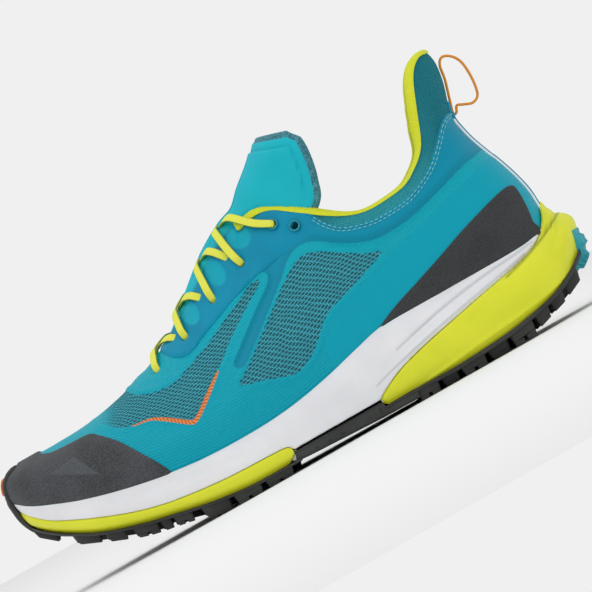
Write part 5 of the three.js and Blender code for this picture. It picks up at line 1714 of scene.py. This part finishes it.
def slotted_lug(x0, x1, y0, y1, slots):
    """A broad foot with a tip on it, parted by its slots."""
    found = [block(x0, x1, y0, y1, root, halfway, 0.93)]
    width = (x1 - x0 - 2 * TIP_INSET - LUG_SLOT * slots) / (slots + 1)
    for k in range(slots + 1):
        a = x0 + TIP_INSET + k * (width + LUG_SLOT)
        found.append(block(a, a + width, y0 + TIP_INSET, y1 - TIP_INSET, halfway, tread, 0.9,
                           corner=0.7))
    return found


def lugs():
    """Pairs of edge lugs, and between them a row of one to three swept lugs."""
    found = []
    for row, (x0, x1, slots, set_in) in enumerate(EDGE_LUGS):
        shares = (np.array((x0, x1)) - SOLE_FRONT) / (SOLE_BACK - SOLE_FRONT)
        half = sole_half(shares).min() - LUG_INSET - set_in
        middle = sole_middle(np.array(shares.mean()))
        beside_insert = x1 > INSERT_FROM
        wide = min(LUG_WIDE, half * 0.7, half - beside_insert * (INSERT_HALF + INSERT_GAP))
        for side in (OUTER, INNER):
            y0, y1 = sorted((middle + side * half, middle + side * (half - wide)))
            found += slotted_lug(x0, x1, y0, y1, slots)
        room = 2 * (half - wide) - 3
        if room < 8 or row == 0 or beside_insert:
            continue
        count = (2 if room > WIDE_ROOM else 1) + row % 2
        for k in range(count):
            y = middle + ((k + 0.5) / count - 0.5) * room
            shift = 4.5 if k % 2 else -2.5
            found.append(block(x0 + shift, x1 + shift - 1, y - MIDDLE_LUG_HALF,
                               y + MIDDLE_LUG_HALF, root, tread, 0.82, sweep=0.35))
    return found

# %% Bridge under the arch
# along and height of its lower edge, as read on the outer side
BRIDGE_LOW = np.array(((129, 4.4), (138, 3.7), (159, 2.8), (176, 2.1), (196, 1.9)))
BRIDGE_HEEL = 195.2
BRIDGE_STEPS, BRIDGE_AROUND = 150, 96
HOLLOW_DEEP, POCKET_DEEP, POCKET_PITCH = 3.4, 0.8, 7.0
POCKETS_FROM, POCKETS_TO = 140, 176


def arch_bridge():
    """A shank whose sides carry a row of small pockets, hollowed underneath."""
    x = np.linspace(BRIDGE_FROM - 3, BRIDGE_HEEL, BRIDGE_STEPS)[:, None]
    share = (x - SOLE_FRONT) / (SOLE_BACK - SOLE_FRONT)
    half, middle = sole_half(share) - SHEET_INSET, sole_middle(share)
    flat, tall = rounded(2 * math.pi * np.arange(BRIDGE_AROUND) / BRIDGE_AROUND, 0.18, 0.32)
    y = middle + half * flat
    ends = step(x, BRIDGE_FROM - 1.2, BRIDGE_FROM - 2.4)
    high = BRIDGE_TOP - 0.1 - ends * (BRIDGE_TOP - 4.7)
    under_heel = step(x, BRIDGE_TO - 0.6, BRIDGE_TO + 0.4)
    high = high * (1 - under_heel) + (height_at(x, "base") - 0.4) * under_heel
    low = np.interp(x, *BRIDGE_LOW.T)
    z = (high + low) / 2 + (high - low) / 2 * tall
    z = z + HOLLOW_DEEP * step(half * 0.62 - np.abs(y - middle), 0, 3) * (tall < 0) * (1 - ends)
    pocket = step(np.sin(2 * math.pi * x / POCKET_PITCH), 0.55, 0.8) * ridge(z, 5.2, 1.6)
    pocket = pocket * (x > POCKETS_FROM) * (x < POCKETS_TO)
    groove = 0.45 * ridge(z, 7.8, 0.7) * (x < POCKETS_TO)
    side = np.sign(flat) * (np.abs(flat) > 0.93)
    y = y - side * (POCKET_DEEP * pocket + groove) * (1 - ends)
    points = np.stack((np.broadcast_to(x, y.shape), y, z), axis=-1)
    faces = grid_faces(BRIDGE_STEPS, BRIDGE_AROUND, closed=True)
    faces = capped(faces, BRIDGE_STEPS, BRIDGE_AROUND)
    return turned_out({"co": points.reshape(-1, 3), "faces": faces})

# %% [markdown]
# The bumper's surface has to follow three things in turn: the underside of the toe, the front of
# the foam and the toe cap. Each line across the toe is read at the same place of all their
# outlines, joined, spaced evenly and moved out by the thickness of what it covers.

# %% Sheet over the toe
BUMPER_HALF, BUMPER_TOP, BUMPER_THICK = 9.5, 0.45 * HEIGHT, 1.2
BUMPER_LOW, BUMPER_CORNER, BUMPER_START = 24.0, 5.0, 26.0
TOE_MIDDLE = 0.07 * BALL_WIDTH


def front_of(ring, y):
    """Where the front of a ring crosses each y."""
    near = ring[ring[:, 0] < 70]
    near = near[np.argsort(near[:, 1])]
    return np.stack([np.interp(y, near[:, 1], near[:, k]) for k in range(3)], axis=1)


def evenly(line, count=90):
    """The same line with its points the same way apart."""
    way = way_along(line)
    at = np.linspace(0, way[-1], count)
    return np.stack([np.interp(at, way, line[:, k]) for k in range(3)], axis=1)


def toe_sheet():
    """Lines back to front under the toe, up the foam and up the toe cap, then smoothed."""
    y = np.linspace(TOE_MIDDLE - BUMPER_HALF - 2, TOE_MIDDLE + BUMPER_HALF + 2, 70)
    share, side = round_the_shoe(1200)
    start = front_of(foam_ring(0.0), y)
    lines = []
    for back in np.linspace(1, 0, 14)[:-1]:
        line = start.copy()
        line[:, 0] = start[:, 0] + back * (BUMPER_START - start[:, 0])
        line[:, 2] = height_at(line[:, 0], "base")
        lines.append(line)
    lines += [front_of(foam_ring(up), y) for up in np.linspace(0, 0.95, 8)]
    lines += [front_of(on_last(share, level, side), y) for level in np.linspace(0.12, 0.93, 16)]
    points = np.array([evenly(row) for row in np.stack(lines, axis=1)])
    for _ in range(6):
        points[:, 1:-1] = (points[:, :-2] + 2 * points[:, 1:-1] + points[:, 2:]) / 4
    sheet = {"co": points.reshape(-1, 3), "faces": grid_faces(*points.shape[:2])}
    return facing(sheet, (-1, 0, 0))


toe = toe_sheet()
print("points over the toe:", len(toe["co"]))

# %% Toe bumper and its tab
TAB_HALF, TAB_LOW, TAB_HIGH, TAB_CORNER, TAB_GAP = 5.0, 0.388 * HEIGHT, 0.43 * HEIGHT, 1.0, 0.3
TOE_OVER, TAB_PROUD, TOE_EDGE = 1.2, 0.5, 0.9  # over the toe cap, the tab past it, round edge


def rounded_box(off_x, half_x, off_z, half_z, corner):
    """Distance inside a box with round corners; the offs are measured from its middle."""
    past_x = np.clip(np.abs(off_x) - (half_x - corner), 0, None)
    past_z = np.clip(np.abs(off_z) - (half_z - corner), 0, None)
    return corner - np.hypot(past_x, past_z)


def toe_piece(field, stand, fall):
    sheet = clip({**toe, "edge": field}, field)
    round_edge = np.sqrt(1 - np.clip(1 - sheet["edge"] / fall, 0, 1) ** 2)
    return slab(sheet, 0.6, stand - TOE_EDGE * (1 - round_edge))


across, up = toe["co"][:, 1] - TOE_MIDDLE, toe["co"][:, 2]
bumper = rounded_box(across, BUMPER_HALF, up, BUMPER_TOP, BUMPER_CORNER)
bumper = np.minimum(bumper, up - BUMPER_LOW)
tab = rounded_box(across, TAB_HALF, up - (TAB_LOW + TAB_HIGH) / 2, (TAB_HIGH - TAB_LOW) / 2,
                  TAB_CORNER)
bumper = toe_piece(np.minimum(bumper, -tab - TAB_GAP), TOE_OVER + BUMPER_THICK, 1.0)
tab = toe_piece(tab, TOE_OVER + TAB_PROUD + BUMPER_THICK, 0.7)
make_piece("toe_tab_rubber", tab, ORANGE_RUBBER, ["toe_tab"])
make_piece("outsole_rubber", stacked(outsole_sheet(), arch_bridge(), bumper, *lugs()), RUBBER,
           ["outsole"], smooth=30)

# %% [markdown]
# ## The coloured lugs at the heel
# At the back corner the pressing is a second, teal rubber that wraps the foam. It is a skin over
# the foam with teeth cut across it.

# %% Heel insert
TEETH_PITCH, TEETH_SLOT, TEETH_PROUD = 6.6, 11.3, 1.9
FOOT_PROUD, FOOT_BELOW = 2.9, 31.0  # the lowest teeth stand out as far as the lugs


def heel_insert():
    """A skin on the back of the foam, with teeth across it that are parted by slots."""
    x, y, z = foam["co"].T
    low = INSERT_LOW + 0.35 * (296 - x)
    edge = np.min((x - 284, INSERT_HALF - np.abs(y), z - low, INSERT_HIGH - z), axis=0)
    sheet = clip({**foam, "edge": edge}, edge)
    x, y, z = sheet["co"].T
    teeth = step(np.sin(2 * math.pi * (z - 1.5) / TEETH_PITCH), -0.5, 0.0)
    slots = step(np.abs(np.sin(math.pi * y / TEETH_SLOT)), 0.12, 0.22)
    stand = 0.9 + (TEETH_PROUD * teeth * slots + 0.3) * step(sheet["edge"], 0.1, 0.9)
    stand *= 0.6 + 0.4 * step(301 - x, -0.5, 3.5)
    stand += FOOT_PROUD * step(FOOT_BELOW - z, 0, 7) * step(sheet["edge"], 0.1, 1.4)
    return slab(sheet, 0.15, stand)


make_piece("heel_insert_rubber", heel_insert(), TEAL_RUBBER, ["heel_lug_insert"])

# %% [markdown]
# ## The footbed
# A removable insole lies inside. Its rim follows the wall and its middle is dished for the foot.

# %% Insole
INSOLE_THICK, INSOLE_DISH, INSOLE_GAP = 4.0, 3.5, 1.0


def footbed():
    """Rings from the middle line out, dished at the middle and rounded at the rim."""
    foot = widened(foot_ring(), -WALL - INSOLE_GAP)
    middle = middle_of(foot, upper_middle)
    share, _ = round_the_shoe()
    top, under = [], []
    for size in np.linspace(0, 1, 26):
        ring = middle * (1 - size) + foot * size
        dish = INSOLE_DISH * (1 - size * size) * np.sin(math.pi * share)
        level = height_at(ring[:, 0], "foot") + 1.4 - dish
        round_rim = 1.2 * (1 - np.sqrt(1 - np.clip((size - 0.94) / 0.06, 0, 1) ** 2))
        top.append(np.column_stack((ring[:, :2], level + INSOLE_THICK - round_rim)))
        under.append(np.column_stack((ring[:, :2], level + 0.2)))
    sheet = facing(ring_sheet(top, below=np.stack(under, axis=1).reshape(-1, 3)), (0, 0, 1))
    return thickened(sheet, sheet["below"])


make_piece("footbed_cloth", footbed(), FOOTBED_CLOTH, ["insole"])

# %% [markdown]
# ## Heel tape, piping and pull loop
# The two halves of a knit are joined at the heel. A tape covers that seam, a white piping runs
# down either side of it, and a thin braided loop at its top helps to pull the shoe on.

# %% Tape
TAPE = ((250, 46), (250, 108.3), (300, 108.3), (300, 46))
TAPE_HALF, HEEL_FROM = 5.0, 250.0

overlay(["heel_tape"], TAPE, TEAL_FILM, 0.8,
        cuts=lambda sheet: [TAPE_HALF - np.abs(sheet["co"][:, 1]), sheet["co"][:, 0] - HEEL_FROM])

# %% Piping
PIPING_AT, PIPING_RADIUS = 7.2, 0.7
PIPING_LOW, PIPING_HIGH = 41.0, 107.5


def back_of_heel(y, z):
    """Along of the heel's outer surface where it crosses y at height z."""
    low, high = height_at(np.array(280.0), "foot"), height_at(np.array(280.0), "ridge")
    level = np.interp((z - low) / (high - low), LEVEL_RISES, LEVEL_STEPS)
    share = np.linspace(0.8, 1, 200)
    side = OUTER if y < 0 else INNER
    ring = on_last(share, level, side)
    order = np.argsort(side * ring[:, 1])
    return np.interp(side * y, (side * ring[:, 1])[order], ring[order, 0])


def piping(side):
    """A cord beside the tape, laid on the relief and eased three times."""
    way = []
    for z in np.linspace(PIPING_LOW, PIPING_HIGH, 80):
        spot = np.array((back_of_heel(side * PIPING_AT, z), side * PIPING_AT, z))
        k = np.argmin(((skin["co"] - spot) ** 2).sum(axis=1))
        way.append(spot + (skin["relief"][k] + 0.25) * skin["normal"][k])
    way = np.array(way)
    for _ in range(3):
        way[1:-1] = (way[:-2] + way[1:-1] + way[2:]) / 3
    return tube(way, PIPING_RADIUS, closed=False)


make_piece("heel_piping", stacked(piping(OUTER), piping(INNER)), PIPING, smooth=0)

# %% Pull loop
LOOP_POINTS, LOOP_RADIUS, LOOP_SWAY = 220, 0.65, 0.5
LOOP = np.array((
    (0.9158, 0.752), (0.9207, 0.79), (0.9307, 0.86), (0.935, 0.91), (0.944, 0.93), (0.957, 0.918),
    (0.966, 0.89), (0.969, 0.85), (0.968, 0.8), (0.963, 0.765), (0.951, 0.753), (0.937, 0.763),
    (0.927, 0.77), (0.9215, 0.752),
)) * (LENGTH, HEIGHT)
x, z = drawn(LOOP, LOOP_POINTS, closed=True).T
sway = LOOP_SWAY * np.sin(np.linspace(0, 4 * math.pi, LOOP_POINTS, endpoint=False))
loop = tube(np.column_stack((x, sway, z)), LOOP_RADIUS, around=12)
make_piece("pull_loop_cord", loop, CORD, ["pull_loop"],
           ("lace_along", "lace_across"), smooth=0)

# %% [markdown]
# ## Stitches
# The cuff is sewn to the shell with two rows of stitches. Thread has body, so each stitch is a tiny
# lens of its own that sinks in at both ends.

# %% One stitch and its place
STITCH_PITCH, STITCH_LONG, THREAD_RADIUS = 2.5, 1.9, 0.32


def stitch(start, end, away):
    """One stitch from start to end, proud of the surface in its middle."""
    t = np.linspace(0, 1, 7)
    arch = np.sin(math.pi * t)
    proud = arch * THREAD_RADIUS * 1.2 - 0.15
    points = start + (end - start) * t[:, None] + away * proud[:, None]
    return tube(points, THREAD_RADIUS * (0.45 + 0.55 * arch), around=6, closed=False)


def surface_spot(x, z, side):
    """Place and direction on the dressed shell at a point of the side view."""
    y = float(skin_beside(np.array(x), np.array(z), side))
    k = np.argmin(((skin["co"] - (x, y, z)) ** 2).sum(axis=1))
    away = skin["normal"][k]
    return np.array((x, y, z)) + away * skin["relief"][k], away

# %% Two rows of stitches below the cuff
ROWS_BELOW = (0.75, 2.1)


def sewn(line, side):
    """Stitches along a line of the side view that follow the lean of the ankle."""
    way = way_along(line)
    found = []
    for at in np.arange(0.5, way[-1] - STITCH_LONG, STITCH_PITCH):
        ends = []
        for spot in (at, at + STITCH_LONG):
            x, z = np.interp(spot, way, line[:, 0]), np.interp(spot, way, line[:, 1]) + COLLAR_RISE
            z += COLLAR_TILT * float(leaning(skin_beside(np.array(x), np.array(z), side)))
            ends.append(surface_spot(x, z, side))
        (start, away), (end, _) = ends
        found.append(stitch(start, end, away))
    return found


cuff_seam = drawn(CUFF_LINE[1:-1], 120)
ahead = unit(np.gradient(cuff_seam, axis=0))
below = np.column_stack((ahead[:, 1], -ahead[:, 0]))
stitches = [one for side in (OUTER, INNER) for shift in ROWS_BELOW
            for one in sewn(cuff_seam + shift * below, side)]
print("stitches:", len(stitches))
make_piece("cuff_stitches", stacked(*stitches), THREAD, smooth=0)

# %% [markdown]
# ## Stage
# A plain pale floor and large soft lights show form without hiding anything. The photograph was
# taken square to the outer side with a long lens and the shoe tilted, so the camera is level,
# looks across the shoe and is rolled about its own axis.

# %% Floor
FLOOR_REACH = 1.3
floor_mesh = bpy.data.meshes.new("floor")
corners = [(x * FLOOR_REACH, y * FLOOR_REACH, 0) for x, y in ((-1, -1), (1, -1), (1, 1), (-1, 1))]
floor_mesh.from_pydata(corners, [], [(0, 1, 2, 3)])
floor_mesh.materials.append(finish_of("pale studio floor", "#FDFDFD", 0.9)[0])
put("floor", floor_mesh)
print("side of the floor in m:", 2 * FLOOR_REACH)

# %% Light
SKY, BACKDROP = 0.68, 0.87  # light from all round, and how bright the backdrop itself looks
# place, size in metres and power in watts
LAMPS = (
    ((-0.35, -0.9, 1.3), 1.0, 2.8),
    ((0.8, -0.7, 1.0), 0.8, 0.6),
    ((-0.1, 0.1, 1.6), 1.8, 5.0),
)
LIT = Vector((0, 0, 0.05))

world = bpy.data.worlds.new("studio")
world.use_nodes = True
tree = world.node_tree
strength = node(tree, "MULTIPLY_ADD", node(tree, "seen"), BACKDROP - SKY, SKY)
background = tree.nodes["Background"]
background.inputs["Color"].default_value = (1, 1, 1, 1)
tree.links.new(strength, background.inputs["Strength"])
bpy.context.scene.world = world
bpy.context.scene.view_settings.view_transform = "Standard"  # keeps the dyes as bright as they are

for where, size, power in LAMPS:
    light = bpy.data.lights.new("softbox", "AREA")
    light.size, light.energy = size, power
    lamp = put("softbox", light)
    lamp.location = where
    lamp.rotation_euler = (LIT - Vector(where)).to_track_quat("-Z", "Y").to_euler()
print("softboxes:", len(LAMPS))

# %% Camera
CAMERA_ROLL = 29.5
FIELD = 0.2792  # width of the photograph at the shoe, in metres
AIM = Vector((0.0183, 0.0, 0.0716))
DISTANCE, SENSOR = 3.0, 36

lens = bpy.data.cameras.new("camera")
lens.sensor_width = SENSOR
lens.lens = SENSOR * DISTANCE / FIELD
camera = put("camera", lens)
camera.location = AIM + Vector((0, -DISTANCE, 0))
across_shoe = Vector((0, 1, 0)).to_track_quat("-Z", "Y")
camera.rotation_mode = "QUATERNION"
camera.rotation_quaternion = across_shoe @ Quaternion((0, 0, 1), math.radians(-CAMERA_ROLL))
bpy.context.scene.camera = camera
print("lens in mm:", round(lens.lens))

# %% [markdown]
# ## The finished scene
# The dressed shoe must stay as big as its solids; here the scene is updated and its triangles
# counted.

# %% Update the scene and count the triangles
bpy.context.view_layer.update()
print("triangles:", sum(TOTAL.values()))
